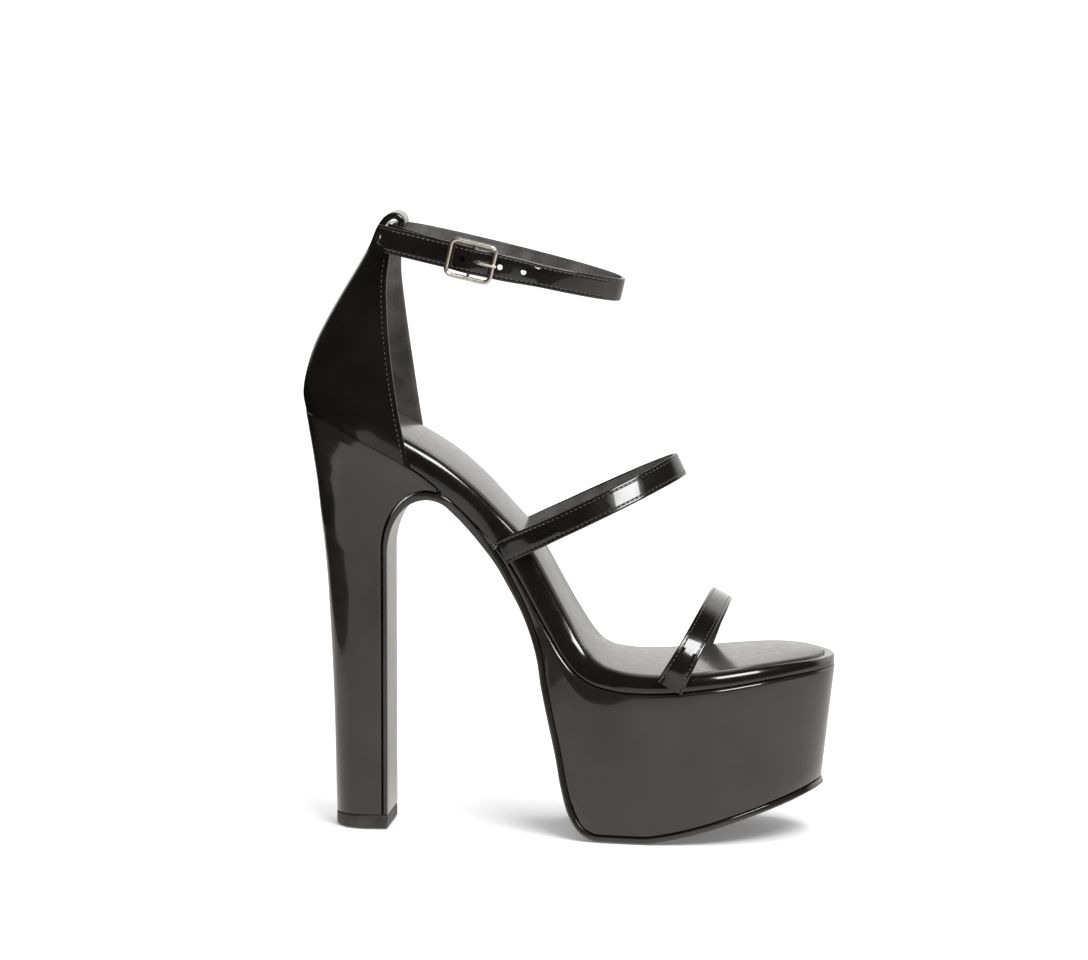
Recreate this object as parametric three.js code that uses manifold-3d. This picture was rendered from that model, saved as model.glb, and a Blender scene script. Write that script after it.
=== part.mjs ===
// Platform sandal on a tall block heel, with a heel cup and three narrow straps.
// One right shoe: the toe points along +X, the inner side of the foot is +Y, up is +Z.
// Millimetres. The origin is on the floor, under the middle of the shoe's length.

import * as THREE from 'three';
import Module from 'manifold-3d';
import { mergeVertices } from 'three/addons/utils/BufferGeometryUtils.js';

const wasm = await Module();
wasm.setup();

// Last: length, widths and heights
const shoeLength = 201;
const ballWidth = 78.6;
const seatHeight = 157.6;
const ballHeight = 56.9;
const toeLift = 7;
const toeSpring = 18.7;
const toeUndercut = 3.9;

// Layers of the bottom
const insoleThickness = 9;
const insoleRoll = 2.4;
const sockThickness = 0.8;
const sockInset = 2.5;
const sockCrown = 0.6;
const outsoleThickness = 2.2;
const archSoleThickness = 3.0;
const flapThickness = 1.5;
const archDepth = 5;
const platformRoll = 1.3;

// Heel
const heelWidth = 30;
const heelDepth = 19.1;
const heelRake = 11.2;
const breastRadius = 16.4;
const breastRise = 22;
const crownDepth = 8;
const heelEdge = 1.2;
const topPieceHeight = 5;

// Heel cup
const cupWall = 2;
const cupHeight = 64.4;
const tabWidth = 13;
const tabThickness = 1.6;

// Straps
const strapThickness = 1.5;
const ankleStrapWidth = 8.6;
const buckleWiden = 1.3;
const ankleLoopLength = 91;
const ankleLoopWidth = 43;
const ankleSlope = 13;
const ankleTipCut = 4.2;
const instepStrapWidth = 8.8;
const instepReach = 71.9;
const toeStrapWidth = 8.6;
const toeStrapReach = 33;
const strapHole = 2.1;

// Buckle
const buckleLength = 16.9;
const buckleHeight = 13.5;
const buckleCorner = 2.4;
const buckleWire = 1.7;
const barWire = 1.1;
const foldThickness = 0.9;

// Pieces that meet along a curve stay this far apart
const gap = 0.3;
const breastGap = 0.5;

// Longest step between sections of the sole
const soleStep = 6;

const deg = Math.PI / 180;

// Tables are read through a smooth curve that never overshoots its rows
function column(table, key, name) {
  const at = table.map((row) => row[key]);
  const value = table.map((row) => row[name] ?? 0);
  const step = at.slice(1).map((next, i) => next - at[i]);
  const rate = step.map((width, i) => (value[i + 1] - value[i]) / width);
  const slope = at.map((_, i) => {
    if (i === 0) return rate[0];
    if (i === at.length - 1) return rate[i - 1];
    if (rate[i - 1] * rate[i] <= 0) return 0;
    const mean = (rate[i - 1] * step[i] + rate[i] * step[i - 1]) / (step[i - 1] + step[i]);
    const limit = 3 * Math.min(Math.abs(rate[i - 1]), Math.abs(rate[i]));
    return Math.sign(mean) * Math.min(Math.abs(mean), limit);
  });
  return (where) => {
    if (where <= at[0]) return value[0] + slope[0] * (where - at[0]);
    const last = at.length - 1;
    if (where >= at[last]) return value[last] + slope[last] * (where - at[last]);
    let i = 0;
    while (where > at[i + 1]) i += 1;
    const t = (where - at[i]) / step[i];
    const rise = value[i + 1] - value[i];
    const bend = slope[i] * step[i];
    const turn = slope[i + 1] * step[i];
    return value[i] + t * (bend + t * (3 * rise - 2 * bend - turn + t * (bend + turn - 2 * rise)));
  };
}

const placeX = (along) => (along - 0.5) * shoeLength;
const shareOf = (x) => x / shoeLength + 0.5;

// Seam line under the insole: climb goes from the ball (0) to the seat (1), lift from ball to toe
const seamTable = [
  { along: 0.01, climb: 1, lift: 0 },
  { along: 0.06, climb: 0.974, lift: 0 },
  { along: 0.12, climb: 0.917, lift: 0 },
  { along: 0.188, climb: 0.846, lift: 0 },
  { along: 0.249, climb: 0.766, lift: 0 },
  { along: 0.299, climb: 0.678, lift: 0 },
  { along: 0.348, climb: 0.579, lift: 0 },
  { along: 0.388, climb: 0.494, lift: 0 },
  { along: 0.418, climb: 0.401, lift: 0 },
  { along: 0.448, climb: 0.295, lift: 0 },
  { along: 0.478, climb: 0.193, lift: 0 },
  { along: 0.502, climb: 0.118, lift: 0 },
  { along: 0.527, climb: 0.061, lift: 0 },
  { along: 0.557, climb: 0.025, lift: 0 },
  { along: 0.597, climb: 0.006, lift: 0 },
  { along: 0.652, climb: 0, lift: 0 },
  { along: 0.716, climb: 0, lift: 0.1 },
  { along: 0.796, climb: 0, lift: 0.37 },
  { along: 0.896, climb: 0, lift: 0.76 },
  { along: 0.96, climb: 0, lift: 0.94 },
  { along: 1, climb: 0, lift: 1 },
];
const seamClimb = column(seamTable, 'along', 'climb');
const seamLift = column(seamTable, 'along', 'lift');
const seamHeight = (along) =>
  ballHeight + seamClimb(along) * (seatHeight - ballHeight) + seamLift(along) * toeLift;

// A place off the seam line, square to it: above is positive
function offSeam(along, above) {
  const reach = 0.004;
  const run = 2 * reach * shoeLength;
  const rise = seamHeight(along + reach) - seamHeight(along - reach);
  const size = Math.hypot(run, rise);
  return {
    x: placeX(along) - (rise / size) * above,
    z: seamHeight(along) + (run / size) * above,
  };
}

// Thickness of the wrapped insole along the shoe
const insoleTable = [
  { along: 0, thick: 0.82 },
  { along: 0.2, thick: 0.88 },
  { along: 0.32, thick: 1 },
  { along: 0.45, thick: 0.97 },
  { along: 0.52, thick: 0.9 },
  { along: 0.6, thick: 0.75 },
  { along: 0.7, thick: 0.63 },
  { along: 0.8, thick: 0.6 },
  { along: 0.93, thick: 0.5 },
  { along: 1, thick: 0.38 },
];
const insoleThick = column(insoleTable, 'along', 'thick');

// Plan of the insole: half width and sideways swing, as shares of half the ball width
const planTable = [
  { along: 0.016, half: 0.628, swing: 0 },
  { along: 0.215, half: 0.628, swing: 0 },
  { along: 0.28, half: 0.61, swing: -0.002 },
  { along: 0.355, half: 0.54, swing: -0.025 },
  { along: 0.42, half: 0.51, swing: -0.068 },
  { along: 0.478, half: 0.55, swing: -0.086 },
  { along: 0.527, half: 0.65, swing: -0.086 },
  { along: 0.577, half: 0.775, swing: -0.073 },
  { along: 0.627, half: 0.89, swing: -0.048 },
  { along: 0.677, half: 0.972, swing: -0.012 },
  { along: 0.72, half: 1, swing: 0 },
  { along: 0.79, half: 1, swing: 0.006 },
  { along: 0.9, half: 1, swing: 0.03 },
  { along: 1, half: 1, swing: 0.04 },
];
const planHalf = column(planTable, 'along', 'half');
const planSwing = column(planTable, 'along', 'swing');
const seatRound = 0.164;
const toeRound = 0.741;
const seatBack = 0.005;
const insoleBack = seatBack + (cupWall + gap) / shoeLength;

function roundEnds(along, back, backRound, frontRound, front) {
  const toSeat = Math.min(1, Math.max(0, (backRound - along) / (backRound - back)));
  const toToe = Math.min(1, Math.max(0, (along - frontRound) / (front - frontRound)));
  return Math.sqrt(Math.max(0, 1 - toSeat * toSeat)) * Math.sqrt(Math.max(0, 1 - toToe * toToe));
}

const tipHalf = 1.1;
function insolePlan(along) {
  const round = roundEnds(along, insoleBack, seatRound, toeRound, 1);
  return {
    half: Math.max(tipHalf, planHalf(along) * (ballWidth / 2) * round),
    swing: planSwing(along) * (ballWidth / 2),
  };
}

// Stations from back to front, ever closer together round the two ends
function stationsBetween(back, backRound, frontRound, front, endSteps, bodySteps) {
  const list = [];
  for (let i = 0; i < endSteps; i += 1) {
    list.push(backRound - (backRound - back) * Math.cos((i / endSteps) * 90 * deg));
  }
  for (let i = 0; i < bodySteps; i += 1) {
    list.push(backRound + ((frontRound - backRound) * i) / bodySteps);
  }
  for (let i = 0; i <= endSteps; i += 1) {
    list.push(frontRound + (front - frontRound) * Math.sin((i / endSteps) * 90 * deg));
  }
  return list;
}

// A closed solid from rings of equal length; each ring runs up one side and down the other,
// so that a flat or bent end is closed by strips across it
function solidFromRings(rings, joined = false) {
  const size = rings[0].length;
  const position = rings.flat().flatMap((point) => [point.x, point.y, point.z]);
  const index = [];
  const bands = joined ? rings.length : rings.length - 1;
  for (let k = 0; k < bands; k += 1) {
    const here = k * size;
    const there = ((k + 1) % rings.length) * size;
    for (let i = 0; i < size; i += 1) {
      const j = (i + 1) % size;
      index.push(here + i, here + j, there + j, here + i, there + j, there + i);
    }
  }
  if (!joined) {
    const last = (rings.length - 1) * size;
    for (let i = 0; i < size / 2 - 1; i += 1) {
      const a = i;
      const b = i + 1;
      const c = size - 2 - i;
      const d = size - 1 - i;
      index.push(a, c, b, a, d, c);
      index.push(last + a, last + b, last + c, last + a, last + c, last + d);
    }
  }
  return facingOut(position, index);
}

// Turns the faces out if the rings were listed the other way round
function facingOut(position, index) {
  const corner = (i) => new THREE.Vector3().fromArray(position, 3 * i);
  let volume = 0;
  for (let i = 0; i < index.length; i += 3) {
    volume += corner(index[i]).dot(corner(index[i + 1]).cross(corner(index[i + 2])));
  }
  if (volume < 0) index.reverse();
  const geometry = new THREE.BufferGeometry();
  geometry.setAttribute('position', new THREE.Float32BufferAttribute(position, 3));
  geometry.setIndex(index);
  return geometry;
}

// Joins and cuts
function toManifold(geometry) {
  const bare = geometry.clone();
  bare.deleteAttribute('normal');
  bare.deleteAttribute('uv');
  const merged = mergeVertices(bare, 1e-4);
  return new wasm.Manifold(new wasm.Mesh({
    numProp: 3,
    vertProperties: new Float32Array(merged.attributes.position.array),
    triVerts: new Uint32Array(merged.index.array),
  }));
}

function toGeometry(manifold) {
  const mesh = manifold.getMesh();
  const geometry = new THREE.BufferGeometry();
  geometry.setAttribute('position', new THREE.Float32BufferAttribute(mesh.vertProperties, 3));
  geometry.setIndex(new THREE.Uint32BufferAttribute(mesh.triVerts, 1));
  return geometry;
}

const joined = (first, ...others) =>
  toGeometry(others.reduce((sum, other) => sum.add(toManifold(other)), toManifold(first)));
const cutBy = (first, ...tools) =>
  toGeometry(tools.reduce((rest, tool) => rest.subtract(toManifold(tool)), toManifold(first)));

// Underside of the sole, from the foot of the heel breast over the arch to the toe.
// Heel breast: 0 at its foot, 1 where its curve springs, 2 at the crown of the arch
const breastFaceX = placeX(seatBack) + heelRake + heelDepth + breastGap + flapThickness;
const crownX = breastFaceX + breastRadius;
const crownZ = seamHeight(shareOf(crownX)) - crownDepth;
const springZ = crownZ - breastRise;
const flapFootZ = topPieceHeight + gap;

function breastCurve(part) {
  if (part <= 1) return { x: breastFaceX, z: flapFootZ + (springZ - flapFootZ) * part };
  const turn = (part - 1) * 90 * deg;
  return { x: crownX - breastRadius * Math.cos(turn), z: springZ + breastRise * Math.sin(turn) };
}

// Spread of the flap and the heel's front edge: from the column (0) to the waist (1)
const breastTable = [
  { part: 0, spread: 0 },
  { part: 0.5, spread: 0 },
  { part: 0.85, spread: 0.01 },
  { part: 1, spread: 0.03 },
  { part: 1.17, spread: 0.08 },
  { part: 1.33, spread: 0.18 },
  { part: 1.5, spread: 0.33 },
  { part: 1.67, spread: 0.52 },
  { part: 1.83, spread: 0.72 },
  { part: 2, spread: 0.88 },
];
const breastSpread = column(breastTable, 'part', 'spread');
const waistHalf = insolePlan(0.27).half;
const breastHalf = (part) => heelWidth / 2 + breastSpread(part) * (waistHalf - heelWidth / 2);

// Arch: how far the underside lies below the seam, as a share of the arch depth
const archTable = [
  { along: 0.285, below: 0.74 },
  { along: 0.31, below: 0.67 },
  { along: 0.335, below: 0.71 },
  { along: 0.362, below: 0.85 },
  { along: 0.392, below: 0.97 },
  { along: 0.42, below: 1.02 },
  { along: 0.445, below: 1.06 },
];

// Block under the ball: its back face, its flat and its toe spring. half and swing are shares
// of half the ball width, and seam is where the wall above reaches the seam line
const blockTable = [
  { along: 0.453, rise: 1.18, spring: 0, half: 0.565, swing: -0.085, seam: 0.476 },
  { along: 0.4605, rise: 1.01, spring: 0, half: 0.58, swing: -0.085, seam: 0.488 },
  { along: 0.469, rise: 0.865, spring: 0, half: 0.6, swing: -0.085, seam: 0.5 },
  { along: 0.489, rise: 0.548, spring: 0, half: 0.645, swing: -0.08, seam: 0.522 },
  { along: 0.502, rise: 0.316, spring: 0, half: 0.69, swing: -0.07, seam: 0.542 },
  { along: 0.517, rise: 0.15, spring: 0, half: 0.73, swing: -0.061, seam: 0.56 },
  { along: 0.538, rise: 0.048, spring: 0, half: 0.775, swing: -0.053, seam: 0.58 },
  { along: 0.572, rise: 0, spring: 0, half: 0.825, swing: -0.043, seam: 0.607 },
  { along: 0.612, rise: 0, spring: 0, half: 0.88, swing: -0.028, seam: 0.64 },
  { along: 0.657, rise: 0, spring: 0, half: 0.92, swing: -0.018, seam: 0.675 },
  { along: 0.7, rise: 0, spring: 0.062, half: 0.937, swing: -0.01, seam: 0.708 },
];
const springTable = [
  { along: 0.657, spring: 0 },
  { along: 0.7, spring: 0.062 },
  { along: 0.776, spring: 0.262 },
  { along: 0.85, spring: 0.52 },
  { along: 0.92, spring: 0.77 },
  { along: 0.981, spring: 1 },
];
const blockSpring = column(springTable, 'along', 'spring');
const blockRound = 0.746;
const blockFront = 1 - toeUndercut / shoeLength;
const blockToeHalf = 0.937;
const blockToeSteps = 8;
const wedgeStart = 0.375;

function undersideRows() {
  const halfBall = ballWidth / 2;
  const rows = [];
  for (const part of [0, 0.5, 1, 1.17, 1.33, 1.5, 1.67, 1.83, 2]) {
    const toArch = Math.max(0, part - 1);
    rows.push({
      ...breastCurve(part),
      thick: flapThickness + toArch * (archSoleThickness - flapThickness),
      half: breastHalf(part),
      swing: 0,
      seam: null,
    });
  }
  for (const row of archTable) {
    const plan = insolePlan(row.along);
    rows.push({
      ...offSeam(row.along, -row.below * archDepth),
      thick: archSoleThickness + Math.max(0, row.along - 0.39) * 16 * (outsoleThickness - archSoleThickness),
      half: plan.half - gap,
      swing: plan.swing,
      seam: row.along,
    });
  }
  for (const row of blockTable) {
    rows.push({
      x: placeX(row.along),
      z: row.rise * ballHeight + row.spring * toeSpring,
      thick: outsoleThickness,
      half: row.half * halfBall,
      swing: row.swing * halfBall,
      seam: row.seam,
    });
  }
  for (let i = 0; i <= blockToeSteps; i += 1) {
    const turn = (i / blockToeSteps) * 90 * deg;
    const along = blockRound + (blockFront - blockRound) * Math.sin(turn);
    rows.push({
      x: placeX(along),
      z: blockSpring(along) * toeSpring,
      thick: outsoleThickness,
      half: Math.max(tipHalf, blockToeHalf * halfBall * Math.cos(turn)),
      swing: (i / blockToeSteps) * 0.03 * halfBall,
      seam: toeRound + (1 - toeRound) * Math.sin(turn),
    });
  }
  return rows;
}

// The rows as one smooth line, measured by its own length
const underside = (() => {
  const rows = undersideRows();
  let length = 0;
  rows.forEach((row, i) => {
    if (i > 0) length += Math.hypot(row.x - rows[i - 1].x, row.z - rows[i - 1].z);
    row.length = length;
  });
  const read = Object.fromEntries(
    ['x', 'z', 'thick', 'half', 'swing'].map((name) => [name, column(rows, 'length', name)]),
  );
  const at = (where) => {
    const reach = 0.4;
    const run = read.x(where + reach) - read.x(where - reach);
    const rise = read.z(where + reach) - read.z(where - reach);
    const size = Math.hypot(run, rise);
    const inwardX = -rise / size;
    const inwardZ = run / size;
    const thick = read.thick(where);
    return {
      x: read.x(where),
      z: read.z(where),
      half: read.half(where),
      swing: read.swing(where),
      inner: (extra) => ({
        x: read.x(where) + inwardX * (thick + extra),
        z: read.z(where) + inwardZ * (thick + extra),
      }),
    };
  };
  const stations = [];
  rows.forEach((row, i) => {
    stations.push({ where: row.length, seam: row.seam });
    const next = rows[i + 1];
    if (i > 1 && next && next.length - row.length > soleStep) {
      const seam = row.seam === null ? null : (row.seam + next.seam) / 2;
      stations.push({ where: (row.length + next.length) / 2, seam });
    }
  });
  return { rows, at, stations };
})();

const vector = (x, y, z) => new THREE.Vector3(x, y, z);

// Outsole: one strip from the foot of the heel breast, over the arch and under the block
function outsole() {
  const rings = underside.stations.map(({ where }) => {
    const here = underside.at(where);
    const inside = here.inner(0);
    return [
      vector(here.x, here.swing - here.half, here.z),
      vector(inside.x, here.swing - here.half, inside.z),
      vector(inside.x, here.swing + here.half, inside.z),
      vector(here.x, here.swing + here.half, here.z),
    ];
  });
  return solidFromRings(rings);
}

// Platform: the wedge that starts in the arch and grows into the block under the ball
function platform() {
  const stations = underside.stations.filter(({ seam }) => seam !== null && seam > wedgeStart);
  const rings = stations.map(({ where, seam }) => {
    const under = underside.at(where);
    const below = under.inner(gap);
    const top = offSeam(seam, -gap);
    const plan = insolePlan(seam);
    const height = Math.hypot(top.x - below.x, top.z - below.z);
    const roll = Math.min(platformRoll, 0.4 * height, 0.5 * plan.half);
    const rolled = offSeam(seam, -gap - roll);
    const foot = Math.max(tipHalf, under.half - gap);
    const side = (sign) => [
      vector(top.x, plan.swing + sign * (plan.half - roll), top.z),
      vector(rolled.x, plan.swing + sign * plan.half, rolled.z),
      vector(below.x, under.swing + sign * foot, below.z),
    ];
    return [...side(-1), ...side(1).reverse()];
  });
  return solidFromRings(rings);
}

// Insole: the wrapped board that the foot stands on, with rolled sides
function insole() {
  const places = stationsBetween(insoleBack, seatRound, toeRound, 1, 7, 26);
  const rings = places.map((along) => {
    const plan = insolePlan(along);
    const thick = insoleThick(along) * insoleThickness;
    const roll = Math.min(insoleRoll, 0.5 * plan.half);
    const profile = [
      { above: 0, inset: 0.3 * roll },
      { above: 0.15, inset: 0 },
      { above: 0.4, inset: 0.01 * roll },
      { above: 0.62, inset: 0.11 * roll },
      { above: 0.83, inset: 0.36 * roll },
      { above: 0.96, inset: 0.68 * roll },
      { above: 1, inset: roll },
    ];
    const side = (sign) => profile.map((row) => {
      const place = offSeam(along, row.above * thick);
      return vector(place.x, plan.swing + sign * (plan.half - row.inset), place.z);
    });
    return [...side(-1), ...side(1).reverse()];
  });
  return solidFromRings(rings);
}

// Sock: the lining sheet on the insole, a little crowned along its middle
function sock() {
  const inset = sockInset / shoeLength;
  const places = stationsBetween(insoleBack + inset, seatRound, toeRound, 1 - 1.4 * inset, 6, 24);
  const rings = places.map((along) => {
    const plan = insolePlan(along);
    const round = roundEnds(along, insoleBack + inset, seatRound, toeRound, 1 - 1.4 * inset);
    const half = Math.max(tipHalf, planHalf(along) * (ballWidth / 2) * round - sockInset);
    const floor = insoleThick(along) * insoleThickness + gap;
    const crown = sockCrown * Math.min(1, half / 20);
    const profile = [
      { above: 0, side: 1 },
      { above: 0.7 * sockThickness, side: 1 },
      { above: sockThickness, side: 0.95 },
      { above: sockThickness + 0.7 * crown, side: 0.5 },
      { above: sockThickness + crown, side: 0.1 },
    ];
    const side = (sign) => profile.map((row) => {
      const place = offSeam(along, floor + row.above);
      return vector(place.x, plan.swing + sign * half * row.side, place.z);
    });
    return [...side(-1), ...side(1).reverse()];
  });
  return solidFromRings(rings);
}

// Heel: D-shaped sections that stand upright in the column and lie back onto the seat.
// back is a share of the rake, rise of the height at the back, front the place on the breast,
// spread goes from the column's width to the seat's and bow from a flat section to the seat's curve
const heelTable = [
  { back: 1, rise: 0, front: 0, spread: 0, bow: 0 },
  { back: 0.91, rise: 0.294, front: 0.42, spread: 0, bow: 0 },
  { back: 0.75, rise: 0.54, front: 0.8, spread: 0.01, bow: 0 },
  { back: 0.625, rise: 0.656, front: 0.96, spread: 0.04, bow: 0 },
  { back: 0.49, rise: 0.741, front: 1.15, spread: 0.12, bow: 0.03 },
  { back: 0.375, rise: 0.82, front: 1.4, spread: 0.3, bow: 0.15 },
  { back: 0.25, rise: 0.885, front: 1.62, spread: 0.53, bow: 0.35 },
  { back: 0.13, rise: 0.94, front: 1.82, spread: 0.76, bow: 0.62 },
  { back: 0.055, rise: 0.975, front: 2, spread: 0.93, bow: 0.86 },
];
const lipPart = 0.55;
const heelFootZ = topPieceHeight + gap;
const seatHalf = insolePlan(0.2).half + gap + cupWall;
const backRoundShare = 0.62;

// Where the heel's front face runs: behind the flap, then over the arch to the lip
function heelFront(part) {
  const rows = underside.rows;
  const marks = [0, 0.5, 1, 1.17, 1.33, 1.5, 1.67, 1.83, 2, 3];
  let i = 0;
  while (i < marks.length - 2 && part > marks[i + 1]) i += 1;
  const t = (part - marks[i]) / (marks[i + 1] - marks[i]);
  return underside.at(rows[i].length + t * (rows[i + 1].length - rows[i].length)).inner(breastGap);
}

function heelRing(back, front, half, frontHalf, bow) {
  const depth = front.x - back.x;
  const seatLine = (x) => {
    const t = (x - lip.back.x) / (lip.front.x - lip.back.x);
    return lip.back.z + t * (lip.front.z - lip.back.z);
  };
  const curve = (x) => seamHeight(shareOf(x)) - gap - seatLine(x);
  const place = (share, side) => {
    const x = back.x + share * depth;
    const rise = curve(x) - share * curve(front.x);
    return vector(x, side, back.z + share * (front.z - back.z) + bow * rise);
  };
  const profile = [];
  for (const turn of [6, 22, 38, 54, 72, 90]) {
    profile.push({ share: backRoundShare * (1 - Math.cos(turn * deg)), half: half * Math.sin(turn * deg) });
  }
  const edge = heelEdge / depth;
  profile.push({ share: 0.5 * (backRoundShare + 1 - edge), half: (half + frontHalf) / 2 });
  profile.push({ share: 1 - edge, half: frontHalf });
  profile.push({ share: 1, half: frontHalf - heelEdge });
  const side = (sign) => profile.map((row) => place(row.share, sign * row.half));
  return [...side(-1), ...side(1).reverse()];
}

const lip = (() => {
  const front = heelFront(2 + lipPart);
  const backX = placeX(seatBack);
  return {
    back: { x: backX, z: seamHeight(seatBack) - gap },
    front: { x: front.x, z: seamHeight(shareOf(front.x)) - gap },
    under: front,
  };
})();

function heel() {
  const full = lip.back.z - heelFootZ;
  const columnHalf = heelWidth / 2;
  const rings = heelTable.map((row) => {
    const back = { x: lip.back.x + row.back * heelRake, z: heelFootZ + row.rise * full };
    const half = columnHalf + row.spread * (seatHalf - columnHalf);
    const frontHalf = Math.min(half, breastHalf(row.front));
    return heelRing(back, heelFront(row.front), half, frontHalf, row.bow);
  });
  const lipHalf = insolePlan(shareOf(lip.front.x)).half;
  const lowBack = { x: lip.back.x + 0.02 * heelRake, z: lip.back.z - 0.012 * full };
  rings.push(heelRing(lowBack, lip.under, 0.99 * seatHalf, lipHalf, 0.95));
  rings.push(heelRing(lip.back, lip.front, seatHalf, lipHalf, 1));
  return solidFromRings(rings);
}

// Top piece: the rubber pad under the heel, which also carries the foot of the flap
function topPiece() {
  const back = lip.back.x + heelRake;
  const ring = (z) => heelRing(
    { x: back, z }, { x: breastFaceX, z }, heelWidth / 2, heelWidth / 2, 0,
  );
  return solidFromRings([ring(0), ring(topPieceHeight)]);
}

// Heel cup: a thin wall that leans from the seat towards the ankle.
// back and front are shares of the length, half of the seat's half width, round of the length
const cupTable = [
  { up: 0, back: 0.005, front: 0.215, half: 1, round: 0.164 },
  { up: 0.1, back: 0, front: 0.208, half: 1.008, round: 0.164 },
  { up: 0.25, back: 0.008, front: 0.196, half: 0.986, round: 0.154 },
  { up: 0.4, back: 0.024, front: 0.186, half: 0.942, round: 0.139 },
  { up: 0.55, back: 0.048, front: 0.178, half: 0.885, round: 0.122 },
  { up: 0.7, back: 0.0755, front: 0.1725, half: 0.822, round: 0.105 },
  { up: 0.85, back: 0.1045, front: 0.17, half: 0.74, round: 0.092 },
  { up: 1, back: 0.132, front: 0.1755, half: 0.63, round: 0.082 },
];
const cupBack = column(cupTable, 'up', 'back');
const cupFront = column(cupTable, 'up', 'front');
const cupHalf = column(cupTable, 'up', 'half');
const cupRound = column(cupTable, 'up', 'round');
const cupForward = 1.6;
const cupFrontDrop = 3;

function cupPlace(around, up, inward) {
  const turn = Math.abs(around);
  const sweep = 1 - Math.cos(turn * 90 * deg);
  const forward = around > 0 ? cupForward * Math.sin(up * 180 * deg) * turn : 0;
  const back = placeX(cupBack(up)) + inward;
  const front = placeX(cupFront(up)) + forward;
  const x = back + sweep * (front - back);
  const round = cupRound(up) * shoeLength - inward;
  const arc = (run) => Math.sqrt(Math.max(0, 1 - Math.max(0, 1 - run / round) ** 2));
  const half = cupHalf(up) * seatHalf - inward;
  const y = Math.sign(around) * half * (arc(x - back) / arc(front - back));
  const rest = seamHeight(cupBack(0) + sweep * (cupFront(0) - cupBack(0)));
  const top = seamHeight(seatBack) + cupHeight - cupFrontDrop * sweep;
  return vector(x, y, rest + up * (top - rest));
}

function cupWallSolid() {
  const levels = [0, 0.05, 0.1, 0.175, 0.25, 0.325, 0.4, 0.475, 0.55, 0.625, 0.7, 0.775, 0.85, 0.925, 1];
  const steps = 20;
  const rings = [];
  for (let i = 0; i <= steps; i += 1) {
    const around = (2 * i) / steps - 1;
    const outer = levels.map((up) => cupPlace(around, up, 0));
    const inner = levels.map((up) => cupPlace(around, up, cupWall));
    rings.push([...outer, ...inner.reverse()]);
  }
  return solidFromRings(rings);
}

// Tab at the top of the cup: it folds forward over the ankle strap and comes back to the wall.
// Places are run forward and rise above the top of the wall's back, as shares of the strap's width
const tabTable = [
  { run: -0.3, rise: -0.75 },
  { run: 0, rise: -0.06 },
  { run: 0.3, rise: 0.6 },
  { run: 0.64, rise: 1.0 },
  { run: 0.98, rise: 1.08 },
  { run: 1.22, rise: 0.86 },
  { run: 1.12, rise: 0.44 },
  { run: 0.74, rise: -0.2 },
  { run: 0.23, rise: -0.74 },
  { run: -0.35, rise: -1.18 },
  { run: -0.66, rise: -1.46 },
];

function tab() {
  const foot = cupPlace(0, 1, cupWall / 2);
  const route = new THREE.CatmullRomCurve3(tabTable.map((row) => vector(
    foot.x + row.run * ankleStrapWidth,
    0,
    foot.z + row.rise * ankleStrapWidth,
  )));
  const steps = 22;
  const rings = [];
  for (let i = 0; i <= steps; i += 1) {
    const middle = route.getPoint(i / steps);
    const along = route.getTangent(i / steps);
    const out = vector(-along.z, 0, along.x).multiplyScalar(tabThickness / 2);
    const side = (sign) => [
      middle.clone().add(out).setY((sign * tabWidth) / 2),
      middle.clone().sub(out).setY((sign * tabWidth) / 2),
    ];
    rings.push([...side(-1), ...side(1).reverse()]);
  }
  return solidFromRings(rings);
}

const heelCup = () => joined(cupWallSolid(), tab());

// Straps are flat bands: each station has its middle, the way across it and the way out of it
const bandEdge = 0.3;
function bandRing(middle, across, out, width, thickness) {
  const place = (side, depth) => middle.clone()
    .addScaledVector(across, side * width / 2)
    .addScaledVector(out, depth * thickness / 2);
  const inset = 1 - (2 * bandEdge) / width;
  return [
    place(-inset, -1), place(-1, -0.4), place(-1, 0.4), place(-inset, 1),
    place(inset, 1), place(1, 0.4), place(1, -0.4), place(inset, -1),
  ];
}

// A strap over the foot, with straight rulings: it rises from the seam on the outer side,
// lies against the insole's edge, passes over the foot and comes down on the inner side
const instepTable = [
  { reach: 0, side: 1 },
  { reach: 0.05, side: 1.01 },
  { reach: 0.1, side: 1.05 },
  { reach: 0.2, side: 1.14 },
  { reach: 0.35, side: 1.21 },
  { reach: 0.5, side: 1.2 },
  { reach: 0.64, side: 1.11 },
  { reach: 0.77, side: 0.94 },
  { reach: 0.87, side: 0.71 },
  { reach: 0.945, side: 0.46 },
  { reach: 0.985, side: 0.24 },
  { reach: 1, side: 0 },
];
const toeStrapTable = [
  { reach: 0, side: 1 },
  { reach: 0.1, side: 1.0 },
  { reach: 0.2, side: 1.005 },
  { reach: 0.34, side: 0.99 },
  { reach: 0.5, side: 0.935 },
  { reach: 0.64, side: 0.85 },
  { reach: 0.77, side: 0.72 },
  { reach: 0.88, side: 0.54 },
  { reach: 0.95, side: 0.35 },
  { reach: 0.988, side: 0.17 },
  { reach: 1, side: 0 },
];

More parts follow.
